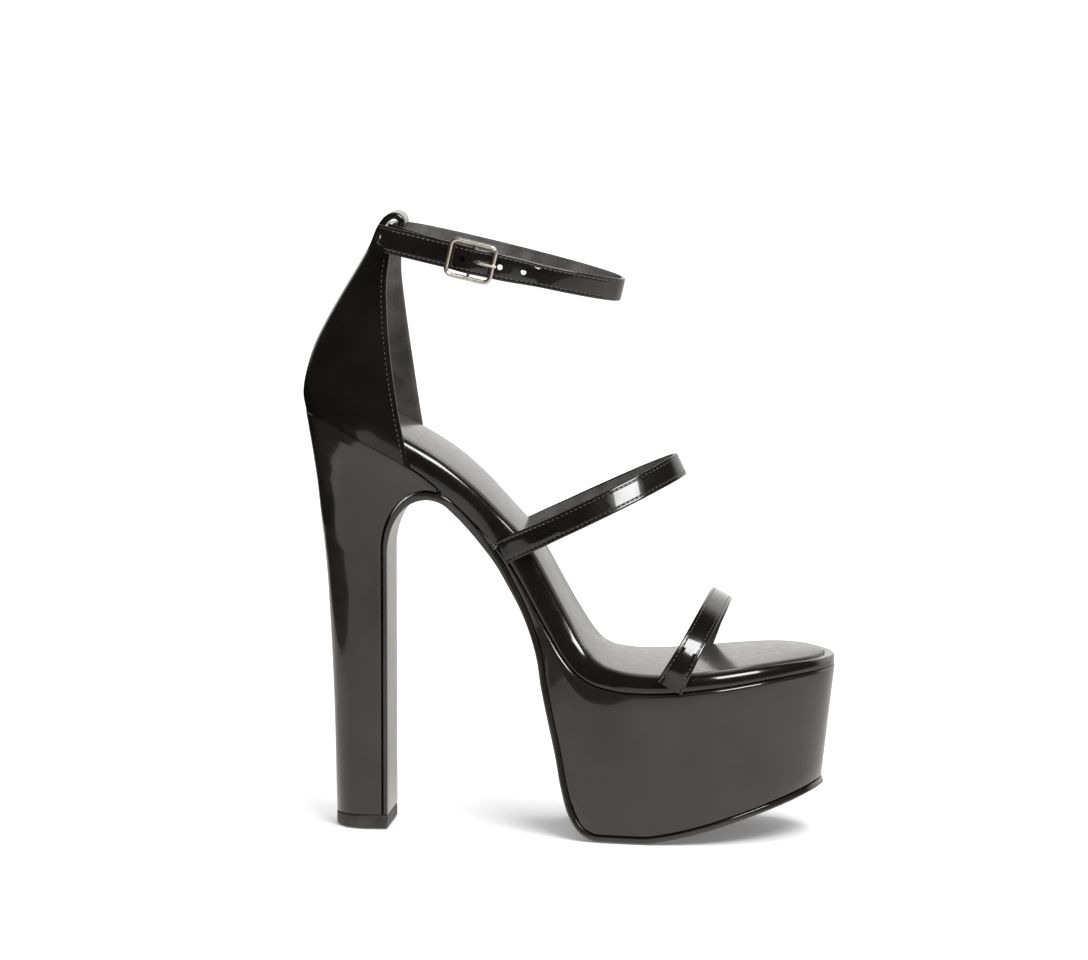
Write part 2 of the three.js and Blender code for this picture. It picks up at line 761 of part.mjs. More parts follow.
// lean is how far the band tips towards the foot on its way up
function footStrap({ table, footAlong, slope, lean, reach, width, flare, shift, ends }) {
  const foot = offSeam(footAlong, 0.5 * width * Math.abs(Math.sin(ends * deg)) + gap);
  const edge = [-1, 0, 1].map((side) => insolePlan(footAlong + (side * width) / 2 / shoeLength));
  const clear = gap + strapThickness / 2;
  const halfTo = (sign) => Math.max(...edge.map((plan) => plan.half + sign * plan.swing)) + clear;
  const up = vector(Math.cos(slope * deg), 0, Math.sin(slope * deg));
  const upright = vector(-Math.sin(slope * deg), 0, Math.cos(slope * deg));
  const place = (row, sign) => vector(foot.x, 0, foot.z)
    .addScaledVector(up, row.reach * reach)
    .add(vector(
      sign > 0 ? shift * (1 - row.reach) : 0,
      sign * row.side * halfTo(sign),
      0,
    ));
  const points = [
    ...table.map((row) => place(row, -1)),
    ...table.slice(0, -1).reverse().map((row) => place(row, 1)),
  ];
  const route = new THREE.CatmullRomCurve3(points);
  const steps = 44;
  const rings = [];
  for (let i = 0; i <= steps; i += 1) {
    const t = i / steps;
    const along = route.getTangentAt(t);
    const tip = lean * Math.sin(t * 360 * deg) * deg;
    const across = upright.clone().multiplyScalar(Math.cos(tip)).add(vector(0, Math.sin(tip), 0));
    const out = along.clone().cross(across).normalize();
    const near = Math.max(0, 1 - Math.min(t, 1 - t) * 7);
    rings.push(bandRing(route.getPointAt(t), across, out, width + flare * near, strapThickness));
  }
  return solidFromRings(rings);
}

const instepStrap = () => footStrap({
  table: instepTable,
  footAlong: 0.386,
  slope: 25.7,
  lean: 18,
  reach: instepReach,
  width: instepStrapWidth,
  flare: 0.8,
  shift: 0,
  ends: 0,
});

const toeStrap = () => footStrap({
  table: toeStrapTable,
  footAlong: 0.709,
  slope: 61.7,
  lean: 4,
  reach: toeStrapReach,
  width: toeStrapWidth,
  flare: 2,
  shift: 2.5,
  ends: 28,
});

// Ankle strap: a loop in a sloping plane. reach runs from the tab (0) to the front (1) and
// side is a share of half the loop's width
const loopTable = [
  { reach: 0, side: 0 },
  { reach: 0.004, side: 0.2 },
  { reach: 0.02, side: 0.42 },
  { reach: 0.07, side: 0.68 },
  { reach: 0.15, side: 0.87 },
  { reach: 0.25, side: 0.97 },
  { reach: 0.34, side: 1 },
  { reach: 0.48, side: 1 },
  { reach: 0.62, side: 0.95 },
  { reach: 0.75, side: 0.84 },
  { reach: 0.86, side: 0.67 },
  { reach: 0.94, side: 0.46 },
  { reach: 0.985, side: 0.24 },
  { reach: 1, side: 0 },
];
const loopLean = 17;
const loopDown = vector(Math.cos(ankleSlope * deg), 0, -Math.sin(ankleSlope * deg));
const loopUp = vector(Math.sin(ankleSlope * deg), 0, Math.cos(ankleSlope * deg));
const loopBack = (() => {
  const foot = cupPlace(0, 1, cupWall / 2);
  return vector(foot.x + 0.47 * ankleStrapWidth, 0, foot.z + 0.3 * ankleStrapWidth);
})();
const loopHalf = ankleLoopWidth / 2;
const loopPlace = (run, side) => loopBack.clone()
  .addScaledVector(loopDown, run)
  .add(vector(0, side, 0));
const loopPoint = (row, sign) => loopPlace(row.reach * ankleLoopLength, sign * row.side * loopHalf);

// The band leans further forward where it passes through the tab
function loopAcross(point) {
  const run = point.clone().sub(loopBack).dot(loopDown);
  const side = Math.abs(point.y) / loopHalf;
  const lean = loopLean * Math.max(0, 1 - run / 14) * Math.max(0, 1 - side);
  const turn = lean * deg;
  return loopUp.clone().multiplyScalar(Math.cos(turn)).addScaledVector(loopDown, Math.sin(turn));
}

// The buckle sits on the outer side. Depths here are measured outwards from the inner band
const barRun = 0.394 * ankleLoopLength;
const frameRun = buckleLength / 2;
const barDepth = foldThickness / 2 + 0.2 + barWire / 2;
const foldDepth = barDepth + barWire / 2 + 0.2 + foldThickness / 2;
const overBar = foldDepth + foldThickness / 2 + gap + strapThickness / 2;
const underFrame = strapThickness + gap;
const frameDepth = underFrame + strapThickness / 2 + gap + buckleWire / 2;
const bucklePlace = (run, up, depth) => loopPlace(barRun + run, -loopHalf - depth)
  .addScaledVector(loopUp, up);

// The band is wider on the outer side, from beside the tab to past the buckle
function ankleWidth(point) {
  const run = point.clone().sub(loopBack).dot(loopDown);
  const outer = THREE.MathUtils.smoothstep(-point.y / loopHalf, 0.25, 0.75);
  const near = THREE.MathUtils.smoothstep(barRun + 3.6 * frameRun - run, 0, 2.4 * frameRun);
  return ankleStrapWidth + buckleWiden * outer * near;
}

function ankleStrap() {
  const turnRadius = foldDepth / 2;
  const fold = [];
  for (const turn of [90, 45, 0, -45, -90]) {
    fold.push(bucklePlace(turnRadius * Math.cos(turn * deg), 0, turnRadius + turnRadius * Math.sin(turn * deg)));
  }
  const foldEnd = bucklePlace(-0.65 * frameRun, 0, 0.6 * strapThickness + gap + foldThickness / 2);
  const behind = loopTable.filter((row) => row.reach * ankleLoopLength < barRun - 0.5 * frameRun);
  const ahead = loopTable.filter((row) => row.reach * ankleLoopLength > barRun + 2 * frameRun);
  const freeEnd = [
    { run: 1.75, depth: 0.35 * underFrame },
    { run: 1.35, depth: 0.8 * underFrame },
    { run: 1, depth: underFrame },
    { run: 0.55, depth: 0.55 * overBar + 0.45 * underFrame },
    { run: 0, depth: overBar },
    { run: -0.5, depth: 0.7 * overBar + 0.3 * underFrame },
    { run: -1, depth: underFrame },
    { run: -1.5, depth: underFrame },
    { run: -2.2, depth: 0.98 * underFrame },
    { run: -3, depth: 0.9 * underFrame },
    { run: -4.08, depth: 0.72 * underFrame },
  ];
  const points = [
    foldEnd,
    ...fold,
    bucklePlace(-0.35 * frameRun, 0, 0),
    ...behind.slice(1).reverse().map((row) => loopPoint(row, -1)),
    ...loopTable.map((row) => loopPoint(row, 1)),
    ...ahead.slice(0, -1).reverse().map((row) => loopPoint(row, -1)),
    ...freeEnd.map((row) => bucklePlace(row.run * frameRun, 0, row.depth)),
  ];
  const route = new THREE.CatmullRomCurve3(points);
  const total = route.getLength();
  const places = [];
  const fine = (frameRun + 4 * turnRadius) / total;
  for (let i = 0; i < 12; i += 1) places.push((fine * i) / 12);
  const steps = 84;
  for (let i = 0; i <= steps; i += 1) places.push(Math.min(1, fine + ((1 - fine) * i) / steps));
  const rings = places.map((t, i) => {
    const middle = route.getPointAt(t);
    const along = route.getTangentAt(t);
    const across = loopAcross(middle);
    const out = across.clone().cross(along).normalize();
    const soft = Math.min(1, Math.max(0, (t * total - foldDepth * 3 - 2) / 8));
    const thickness = foldThickness + soft * (strapThickness - foldThickness);
    const ring = bandRing(middle, across, out, ankleWidth(middle), thickness);
    if (i === places.length - 1) {
      ring.forEach((point) => {
        const height = point.clone().sub(middle).dot(across) / ankleStrapWidth;
        point.addScaledVector(along, ankleTipCut * height);
      });
    }
    return ring;
  });
  const band = solidFromRings(rings);
  return cutBy(band, foldSlot(), prongSlot(), ...strapHoles());
}

// A block given by its ranges along the strap, up it and out of it
function buckleBlock(run, up, depth) {
  const box = new THREE.BoxGeometry(run[1] - run[0], depth[1] - depth[0], up[1] - up[0]);
  box.rotateY(ankleSlope * deg);
  const middle = bucklePlace((run[0] + run[1]) / 2, (up[0] + up[1]) / 2, (depth[0] + depth[1]) / 2);
  return box.translate(middle.x, middle.y, middle.z);
}

const prongHalf = barWire / 2;
const slotHalf = prongHalf + gap;
const prongTurn = barWire / 2 + 0.2 + prongHalf;
const prongLeave = 5.4;
const foldSlot = () => {
  const reach = prongTurn + prongHalf + gap;
  return buckleBlock(
    [-reach, reach + foldThickness],
    [-slotHalf, slotHalf],
    [barDepth - reach - foldThickness, foldDepth + foldThickness / 2 + gap / 2],
  );
};
const prongSlot = () => buckleBlock(
  [-prongTurn, prongLeave],
  [-slotHalf, slotHalf],
  [foldDepth + foldThickness / 2 + gap / 3, overBar + 2 * strapThickness],
);

// Punched holes: one behind the bar, two in front of the frame, where the band runs free
const loopSide = column(loopTable, 'reach', 'side');
function strapHoles() {
  return [-3.2, 11, 19.8].map((run) => {
    const hole = new THREE.CylinderGeometry(strapHole / 2, strapHole / 2, 2.6 * strapThickness, 12);
    const free = (loopSide((barRun + run) / ankleLoopLength) - 1) * loopHalf;
    const depth = run < 0 ? overBar : Math.max(free, underFrame * (2 - run / frameRun));
    const middle = bucklePlace(run, 0, depth + 0.1 * strapThickness);
    return hole.translate(middle.x, middle.y, middle.z);
  });
}

// Round wire swept along places, closed on itself or open
function wireRings(places, tangentAt, radius, sides, reference) {
  return places.map((place, i) => {
    const along = tangentAt(i);
    const first = reference.clone().addScaledVector(along, -reference.dot(along)).normalize();
    const second = along.clone().cross(first);
    const ring = [];
    for (let k = 0; k < sides; k += 1) {
      const turn = (k + 0.5) * (360 / sides) * deg;
      ring.push(place.clone()
        .addScaledVector(first, radius * Math.cos(turn))
        .addScaledVector(second, radius * Math.sin(turn)));
    }
    return ring;
  });
}

// Buckle frame: a rounded rectangle of wire with a dropped centre bar
function buckleFrame() {
  const places = [];
  const corners = [
    { run: 1, up: 1, from: 0 },
    { run: -1, up: 1, from: 90 },
    { run: -1, up: -1, from: 180 },
    { run: 1, up: -1, from: 270 },
  ];
  for (const corner of corners) {
    for (const turn of [0, 30, 60, 90]) {
      const angle = (corner.from + turn) * deg;
      places.push(bucklePlace(
        corner.run * (frameRun - buckleCorner) + buckleCorner * Math.cos(angle),
        corner.up * (buckleHeight / 2 - buckleCorner) + buckleCorner * Math.sin(angle),
        frameDepth,
      ));
    }
  }
  const count = places.length;
  const tangent = (i) => places[(i + 1) % count].clone().sub(places[(i + count - 1) % count]).normalize();
  const frame = solidFromRings(wireRings(places, tangent, buckleWire / 2, 8, vector(0, 1, 0)), true);
  const half = buckleHeight / 2;
  const drop = (ankleStrapWidth + buckleWiden) / 2 + 0.75;
  const bar = new THREE.CatmullRomCurve3([
    bucklePlace(0, -half, frameDepth),
    bucklePlace(0, -drop - 0.5, 0.5 * (frameDepth + barDepth)),
    bucklePlace(0, -drop, barDepth + 0.15),
    bucklePlace(0, -drop + 1, barDepth),
    bucklePlace(0, 0, barDepth),
    bucklePlace(0, drop - 1, barDepth),
    bucklePlace(0, drop, barDepth + 0.15),
    bucklePlace(0, drop + 0.5, 0.5 * (frameDepth + barDepth)),
    bucklePlace(0, half, frameDepth),
  ]);
  const steps = 20;
  const barPlaces = bar.getPoints(steps);
  const barTangent = (i) => bar.getTangent(i / steps);
  return joined(frame, solidFromRings(wireRings(barPlaces, barTangent, barWire / 2, 8, loopDown)));
}

// Prong: hooked round the bar, out through the strap and down onto the frame's front side
function buckleProng() {
  const hook = [];
  for (const turn of [-150, -100, -50, 0]) {
    const angle = (turn + 90) * deg;
    hook.push(bucklePlace(-prongTurn * Math.cos(angle), 0, barDepth + prongTurn * Math.sin(angle)));
  }
  const rest = frameDepth + buckleWire / 2 + gap + prongHalf;
  const route = new THREE.CatmullRomCurve3([
    ...hook,
    bucklePlace(0.16 * frameRun, 0, 0.55 * foldDepth + 0.45 * rest),
    bucklePlace(0.38 * frameRun, 0, rest - 0.2),
    bucklePlace(0.6 * frameRun, 0, rest),
    bucklePlace(frameRun, 0, rest),
    bucklePlace(1.16 * frameRun, 0, rest - 0.1),
  ]);
  const steps = 26;
  const places = route.getPoints(steps);
  return solidFromRings(wireRings(places, (i) => route.getTangent(i / steps), prongHalf, 8, loopUp));
}

// Materials
const patent = { color: 0x0c0b0a, roughness: 0.08, metalness: 0 };
const coveredHeel = { color: 0x141210, roughness: 0.15, metalness: 0 };
const sockLining = { color: 0x2a2928, roughness: 0.3, metalness: 0 };
const soleRubber = { color: 0x1b1816, roughness: 0.6, metalness: 0 };
const goldMetal = { color: 0xcbb28a, roughness: 0.2, metalness: 1 };

const shoe = new THREE.Group();
function addPiece(name, geometry, look) {
  geometry.computeVertexNormals();
  const mesh = new THREE.Mesh(geometry, new THREE.MeshStandardMaterial(look));
  mesh.name = name;
  shoe.add(mesh);
}

addPiece('outsole', outsole(), soleRubber);
addPiece('platform', platform(), coveredHeel);
addPiece('insole', insole(), patent);
addPiece('sock', sock(), sockLining);
addPiece('heel', heel(), coveredHeel);
addPiece('top_piece', topPiece(), soleRubber);
addPiece('heel_cup', heelCup(), patent);
addPiece('instep_strap', instepStrap(), patent);
addPiece('toe_strap', toeStrap(), patent);
addPiece('ankle_strap', ankleStrap(), patent);
addPiece('buckle_frame', buckleFrame(), goldMetal);
addPiece('buckle_prong', buckleProng(), goldMetal);

export default shoe;
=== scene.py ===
"""Platform sandal on a tall block heel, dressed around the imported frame.

Lengths are millimetres until a mesh is made, and then metres, in the frame's axes:
+X is the toe, -Y the outer side with the buckle, +Z up.
"""

import math

import bpy
import numpy as np
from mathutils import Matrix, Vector


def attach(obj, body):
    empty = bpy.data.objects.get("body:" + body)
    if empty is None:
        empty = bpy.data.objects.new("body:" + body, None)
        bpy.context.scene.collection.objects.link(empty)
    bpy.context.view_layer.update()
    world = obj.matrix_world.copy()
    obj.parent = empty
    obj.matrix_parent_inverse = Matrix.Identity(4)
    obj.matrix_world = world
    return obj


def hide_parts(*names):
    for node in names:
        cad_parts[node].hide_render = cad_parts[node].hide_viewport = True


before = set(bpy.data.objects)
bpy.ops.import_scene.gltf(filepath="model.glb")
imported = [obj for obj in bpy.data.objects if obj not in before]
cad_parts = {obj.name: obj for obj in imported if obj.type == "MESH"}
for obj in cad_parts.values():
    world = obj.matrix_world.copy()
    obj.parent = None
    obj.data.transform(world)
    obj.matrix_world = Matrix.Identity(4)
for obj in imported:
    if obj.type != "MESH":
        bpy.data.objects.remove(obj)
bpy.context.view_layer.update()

# Last: length, widths and heights
SHOE_LENGTH = 201
BALL_WIDTH = 78.6
SEAT_HEIGHT = 157.6
BALL_HEIGHT = 56.9
TOE_LIFT = 7
TOE_SPRING = 18.7
TOE_UNDERCUT = 3.9

# Layers of the bottom
INSOLE_THICKNESS = 9
INSOLE_ROLL = 2.4
SOCK_THICKNESS = 0.8
SOCK_INSET = 2.5
SOCK_CROWN = 0.6
SOCK_LIFT = 0.05
OUTSOLE_THICKNESS = 2.2
ARCH_SOLE_THICKNESS = 3.0
FLAP_THICKNESS = 1.5
ARCH_DEPTH = 5
PLATFORM_ROLL = 1.3

# Heel
HEEL_WIDTH = 30
HEEL_DEPTH = 19.1
HEEL_RAKE = 11.2
BREAST_RADIUS = 16.4
BREAST_RISE = 22
CROWN_DEPTH = 8
HEEL_EDGE = 1.2
TOP_PIECE_HEIGHT = 5

# Heel cup and tab
CUP_WALL = 2
CUP_HEIGHT = 64.4
TAB_WIDTH = 13
TAB_THICKNESS = 1.6
TAB_PADDING = 0.8

# Straps
STRAP_THICKNESS = 1.5
ANKLE_WIDTH = 8.6
BUCKLE_WIDEN = 1.3
LOOP_LENGTH = 91
LOOP_WIDTH = 43
ANKLE_SLOPE = math.radians(13)
INSTEP_WIDTH = 8.8
INSTEP_REACH = 71.9
TOE_STRAP_WIDTH = 8.6
TOE_STRAP_REACH = 33
STRAP_HOLE = 2.1

# Buckle
BUCKLE_LENGTH = 16.9
BUCKLE_HEIGHT = 13.5
BUCKLE_CORNER = 2.4
BUCKLE_WIRE = 1.7
BAR_WIRE = 1.1
FOLD_THICKNESS = 0.9

GAP = 0.3
BREAST_GAP = 0.5
HALF_BALL = BALL_WIDTH / 2
TIP_HALF = 1.1


# Tables are read through a smooth curve that never overshoots its rows
def column(at, value):
    step = [b - a for a, b in zip(at, at[1:])]
    rate = [(value[i + 1] - value[i]) / w for i, w in enumerate(step)]
    slope = [rate[0]]
    for i in range(1, len(at) - 1):
        if rate[i - 1] * rate[i] <= 0:
            slope.append(0.0)
            continue
        mean = (rate[i - 1] * step[i] + rate[i] * step[i - 1]) / (step[i - 1] + step[i])
        limit = 3 * min(abs(rate[i - 1]), abs(rate[i]))
        slope.append(math.copysign(min(abs(mean), limit), mean))
    slope.append(rate[-1])

    def read(where):
        if where <= at[0]:
            return value[0] + slope[0] * (where - at[0])
        if where >= at[-1]:
            return value[-1] + slope[-1] * (where - at[-1])
        i = 0
        while where > at[i + 1]:
            i += 1
        t = (where - at[i]) / step[i]
        rise = value[i + 1] - value[i]
        bend = slope[i] * step[i]
        turn = slope[i + 1] * step[i]
        return value[i] + t * (bend + t * (3 * rise - 2 * bend - turn + t * (bend + turn - 2 * rise)))

    return read


def columns(rows):
    """Rows of a table whose first entry is where it is read: one reader for each later entry."""
    turned = list(zip(*rows))
    return [column(turned[0], values) for values in turned[1:]]


def place_x(along):
    return (along - 0.5) * SHOE_LENGTH


def share_of(x):
    return x / SHOE_LENGTH + 0.5


# Seam line under the insole: share of the climb to the seat, share of the lift to the toe
seam_climb, seam_lift = columns([
    (0.01, 1, 0), (0.06, 0.974, 0), (0.12, 0.917, 0), (0.188, 0.846, 0), (0.249, 0.766, 0),
    (0.299, 0.678, 0), (0.348, 0.579, 0), (0.388, 0.494, 0), (0.418, 0.401, 0), (0.448, 0.295, 0),
    (0.478, 0.193, 0), (0.502, 0.118, 0), (0.527, 0.061, 0), (0.557, 0.025, 0), (0.597, 0.006, 0),
    (0.652, 0, 0), (0.716, 0, 0.1), (0.796, 0, 0.37), (0.896, 0, 0.76), (0.96, 0, 0.94), (1, 0, 1),
])


def seam_height(along):
    return BALL_HEIGHT + seam_climb(along) * (SEAT_HEIGHT - BALL_HEIGHT) + seam_lift(along) * TOE_LIFT


def off_seam(along, above):
    """A place off the seam line, square to it: above is positive."""
    reach = 0.004
    run = 2 * reach * SHOE_LENGTH
    rise = seam_height(along + reach) - seam_height(along - reach)
    size = math.hypot(run, rise)
    return place_x(along) - rise / size * above, seam_height(along) + run / size * above


(insole_thick,) = columns([
    (0, 0.82), (0.2, 0.88), (0.32, 1), (0.45, 0.97), (0.52, 0.9), (0.6, 0.75),
    (0.7, 0.63), (0.8, 0.6), (0.93, 0.5), (1, 0.38),
])

# Plan of the insole: half width and sideways swing
plan_half, plan_swing = columns([
    (0.016, 0.628, 0), (0.215, 0.628, 0), (0.28, 0.61, -0.002), (0.355, 0.54, -0.025),
    (0.42, 0.51, -0.068), (0.478, 0.55, -0.086), (0.527, 0.65, -0.086), (0.577, 0.775, -0.073),
    (0.627, 0.89, -0.048), (0.677, 0.972, -0.012), (0.72, 1, 0), (0.79, 1, 0.006),
    (0.9, 1, 0.03), (1, 1, 0.04),
])
SEAT_ROUND = 0.164
TOE_ROUND = 0.741
SEAT_BACK = 0.005
INSOLE_BACK = SEAT_BACK + (CUP_WALL + GAP) / SHOE_LENGTH


def round_ends(along, back, back_round, front_round, front):
    to_seat = min(1, max(0, (back_round - along) / (back_round - back)))
    to_toe = min(1, max(0, (along - front_round) / (front - front_round)))
    return math.sqrt(max(0, 1 - to_seat ** 2)) * math.sqrt(max(0, 1 - to_toe ** 2))


def insole_plan(along):
    rounded = round_ends(along, INSOLE_BACK, SEAT_ROUND, TOE_ROUND, 1)
    return max(TIP_HALF, plan_half(along) * HALF_BALL * rounded), plan_swing(along) * HALF_BALL


def stations_between(back, back_round, front_round, front, end_steps, body_steps):
    turns = [math.pi / 2 * i / end_steps for i in range(end_steps + 1)]
    seat = [back_round - (back_round - back) * math.cos(turn) for turn in turns[:-1]]
    body = [back_round + (front_round - back_round) * i / body_steps for i in range(body_steps)]
    return seat + body + [front_round + (front - front_round) * math.sin(turn) for turn in turns]


def circle(turns):
    """Cosine and sine of each turn, given in degrees."""
    return [(math.cos(math.radians(turn)), math.sin(math.radians(turn))) for turn in turns]


def blend(first, second, share):
    return [a + share * (b - a) for a, b in zip(first, second)]


def smooth_part(value, low, high):
    """0 below low, 1 above high and a soft step between."""
    share = min(1, max(0, (value - low) / (high - low)))
    return share * share * (3 - 2 * share)


def unit(v):
    return v / np.linalg.norm(v)


# Rings: closed rows of points round a piece, each from one half of a section
QUARTER_ROUND = range(0, 91, 15)
HALF_ROUND = range(-90, 91, 30)
LEAST_REACH = 0.2


def ring_of(rows):
    """rows: x, the middle in y, the reach to either side, and z."""
    near = [(x, middle - reach, z) for x, middle, reach, z in rows]
    return near + [(x, middle + reach, z) for x, middle, reach, z in rows[::-1]]


def seam_ring(along, middle, levels):
    """levels: the height off the seam line, and the reach to either side."""
    rows = []
    for above, reach in levels:
        x, z = off_seam(along, above)
        rows.append((x, middle, reach, z))
    return ring_of(rows)


def section(middle, across, out, profile):
    """profile: how far each place lies across and out from the middle."""
    ring = [middle - across * side + out * depth for side, depth in profile]
    return ring + [middle + across * side + out * depth for side, depth in profile[::-1]]


# Meshes
def mesh_object(name, points, faces, materials, slots=None, sharp=38):
    mesh = bpy.data.meshes.new(name)
    mesh.from_pydata((np.asarray(points) * 0.001).tolist(), [], faces)
    for material in materials:
        mesh.materials.append(material)
    if slots is not None:
        mesh.polygons.foreach_set("material_index", slots)
    mesh.shade_smooth()
    mesh.set_sharp_from_angle(angle=math.radians(sharp))
    mesh.validate()
    obj = bpy.data.objects.new(name, mesh)
    bpy.context.scene.collection.objects.link(obj)
    return obj


def facing_out(points, faces):
    """Turns every face round if the rings were listed the other way."""
    points = np.asarray(points)
    volume = 0.0
    for face in faces:
        first = points[face[0]]
        for b, c in zip(face[1:], face[2:]):
            volume += float(np.dot(first, np.cross(points[b], points[c])))
    return [face[::-1] for face in faces] if volume < 0 else faces


def ring_faces(count, size, joined):
    """Quads between rings, and strips across the two ends unless the last ring meets the first."""
    faces = []
    for k in range(count if joined else count - 1):
        here = k * size
        there = (k + 1) % count * size
        for i in range(size):
            j = (i + 1) % size
            faces.append((here + i, here + j, there + j, there + i))
    if not joined:
        last = (count - 1) * size
        for i in range(size // 2 - 1):
            faces.append((i, size - 1 - i, size - 2 - i, i + 1))
            faces.append((last + i, last + i + 1, last + size - 2 - i, last + size - 1 - i))
    return faces


def solid_from_rings(name, rings, materials, slot_of=None, joined=False, sharp=38):
    """A closed solid from rings of equal length; slot_of gives a material for a ring and its side."""
    count = len(rings)
    size = len(rings[0])
    points = np.array([point for ring in rings for point in ring], float)
    faces = ring_faces(count, size, joined)
    slots = None
    if slot_of is not None:
        sides = (count if joined else count - 1) * size
        slots = [slot_of(i // size, i % size) for i in range(sides)] + [0] * (len(faces) - sides)
    return mesh_object(name, points, facing_out(points, faces), materials, slots, sharp)


# Lines through places, read by how far along them a place lies
TANGENT_REACH = 0.12


def runs_along(places):
    return np.concatenate([[0], np.cumsum(np.linalg.norm(np.diff(places, axis=0), axis=1))])


def read_at(run, runs, rows):
    return np.array([np.interp(run, runs, rows[:, k]) for k in range(3)])


class Route:
    """A centripetal curve through points, read by its own length."""

    def __init__(self, points, samples=2400):
        self.points = np.array(points, float)
        self.places = np.array([self.place(t) for t in np.linspace(0, 1, samples)])
        self.lengths = runs_along(self.places)
        self.length = float(self.lengths[-1])

    def place(self, t):
        p = self.points
        last = len(p) - 1
        i = min(int(t * last), last - 1)
        w = t * last - i
        before = p[i - 1] if i > 0 else 2 * p[0] - p[1]
        after = p[i + 2] if i + 2 <= last else 2 * p[last] - p[last - 1]
        here, there = p[i], p[i + 1]
        spans = ((before, here), (here, there), (there, after))
        a, b, c = (np.linalg.norm(end - start) ** 0.5 for start, end in spans)
        first = ((here - before) / a - (there - before) / (a + b) + (there - here) / b) * b
        second = ((there - here) / b - (after - here) / (b + c) + (after - there) / c) * b
        square = 3 * (there - here) - 2 * first - second
        cube = 2 * (here - there) + first + second
        return here + w * (first + w * (square + w * cube))

    def at(self, length):
        return read_at(min(max(length, 0), self.length), self.lengths, self.places)

    def tangent(self, length):
        return unit(self.at(length + TANGENT_REACH) - self.at(length - TANGENT_REACH))


# Underside of the sole, from the foot of the heel breast over the arch to the toe
BREAST_X = place_x(SEAT_BACK) + HEEL_RAKE + HEEL_DEPTH + BREAST_GAP + FLAP_THICKNESS
CROWN_X = BREAST_X + BREAST_RADIUS
CROWN_Z = seam_height(share_of(CROWN_X)) - CROWN_DEPTH
SPRING_Z = CROWN_Z - BREAST_RISE
FOOT_Z = TOP_PIECE_HEIGHT + GAP
WAIST_HALF = insole_plan(0.27)[0]
(breast_spread,) = columns([
    (0, 0), (0.5, 0), (0.85, 0.01), (1, 0.03), (1.17, 0.08), (1.33, 0.18), (1.5, 0.33),
    (1.67, 0.52), (1.83, 0.72), (2, 0.88),
])


def breast_curve(part):
    if part <= 1:
        return BREAST_X, FOOT_Z + (SPRING_Z - FOOT_Z) * part
    turn = (part - 1) * math.pi / 2
    return CROWN_X - BREAST_RADIUS * math.cos(turn), SPRING_Z + BREAST_RISE * math.sin(turn)


def breast_half(part):
    return HEEL_WIDTH / 2 + breast_spread(part) * (WAIST_HALF - HEEL_WIDTH / 2)


ARCH_TABLE = [
    (0.285, 0.74), (0.31, 0.67), (0.335, 0.71), (0.362, 0.85), (0.392, 0.97), (0.42, 1.02), (0.445, 1.06),
]
# Block under the ball: along, rise, spring, half, swing, seam
BLOCK_TABLE = [
    (0.453, 1.18, 0, 0.565, -0.085, 0.476), (0.4605, 1.01, 0, 0.58, -0.085, 0.488),
    (0.469, 0.865, 0, 0.6, -0.085, 0.5), (0.489, 0.548, 0, 0.645, -0.08, 0.522),
    (0.502, 0.316, 0, 0.69, -0.07, 0.542), (0.517, 0.15, 0, 0.73, -0.061, 0.56),
    (0.538, 0.048, 0, 0.775, -0.053, 0.58), (0.572, 0, 0, 0.825, -0.043, 0.607),
    (0.612, 0, 0, 0.88, -0.028, 0.64), (0.657, 0, 0, 0.92, -0.018, 0.675),
    (0.7, 0, 0.062, 0.937, -0.01, 0.708),
]
(block_spring,) = columns([
    (0.657, 0), (0.7, 0.062), (0.776, 0.262), (0.85, 0.52), (0.92, 0.77), (0.981, 1),
])
BREAST_MARKS = [0, 0.5, 1, 1.17, 1.33, 1.5, 1.67, 1.83, 2]
BLOCK_ROUND = 0.746
BLOCK_FRONT = 1 - TOE_UNDERCUT / SHOE_LENGTH
BLOCK_TOE_HALF = 0.937
TOE_STEPS = 24
WEDGE_START = 0.375
ARCH_THINS_FROM = 0.39
ARCH_THINS_RATE = 16
TOE_SWING = 0.03
SOLE_ROW = len(BREAST_MARKS) + len(ARCH_TABLE) + 4


def underside_rows():
    """x, z, thickness, half width, swing and the seam above, from the heel breast to the toe."""
    rows = []
    for part in BREAST_MARKS:
        x, z = breast_curve(part)
        thick = FLAP_THICKNESS + max(0, part - 1) * (ARCH_SOLE_THICKNESS - FLAP_THICKNESS)
        rows.append((x, z, thick, breast_half(part), 0, None))
    for along, below in ARCH_TABLE:
        half, swing = insole_plan(along)
        x, z = off_seam(along, -below * ARCH_DEPTH)
        thinner = max(0, along - ARCH_THINS_FROM) * ARCH_THINS_RATE
        thick = ARCH_SOLE_THICKNESS + thinner * (OUTSOLE_THICKNESS - ARCH_SOLE_THICKNESS)
        rows.append((x, z, thick, half - GAP, swing, along))
    for along, rise, spring, half, swing, seam in BLOCK_TABLE:
        z = rise * BALL_HEIGHT + spring * TOE_SPRING
        rows.append((place_x(along), z, OUTSOLE_THICKNESS, half * HALF_BALL, swing * HALF_BALL, seam))
    for i in range(TOE_STEPS + 1):
        turn = i / TOE_STEPS * math.pi / 2
        along = BLOCK_ROUND + (BLOCK_FRONT - BLOCK_ROUND) * math.sin(turn)
        half = max(TIP_HALF, BLOCK_TOE_HALF * HALF_BALL * math.cos(turn))
        swing = i / TOE_STEPS * TOE_SWING * HALF_BALL
        seam = TOE_ROUND + (1 - TOE_ROUND) * math.sin(turn)
        z = block_spring(along) * TOE_SPRING
        rows.append((place_x(along), z, OUTSOLE_THICKNESS, half, swing, seam))
    return rows


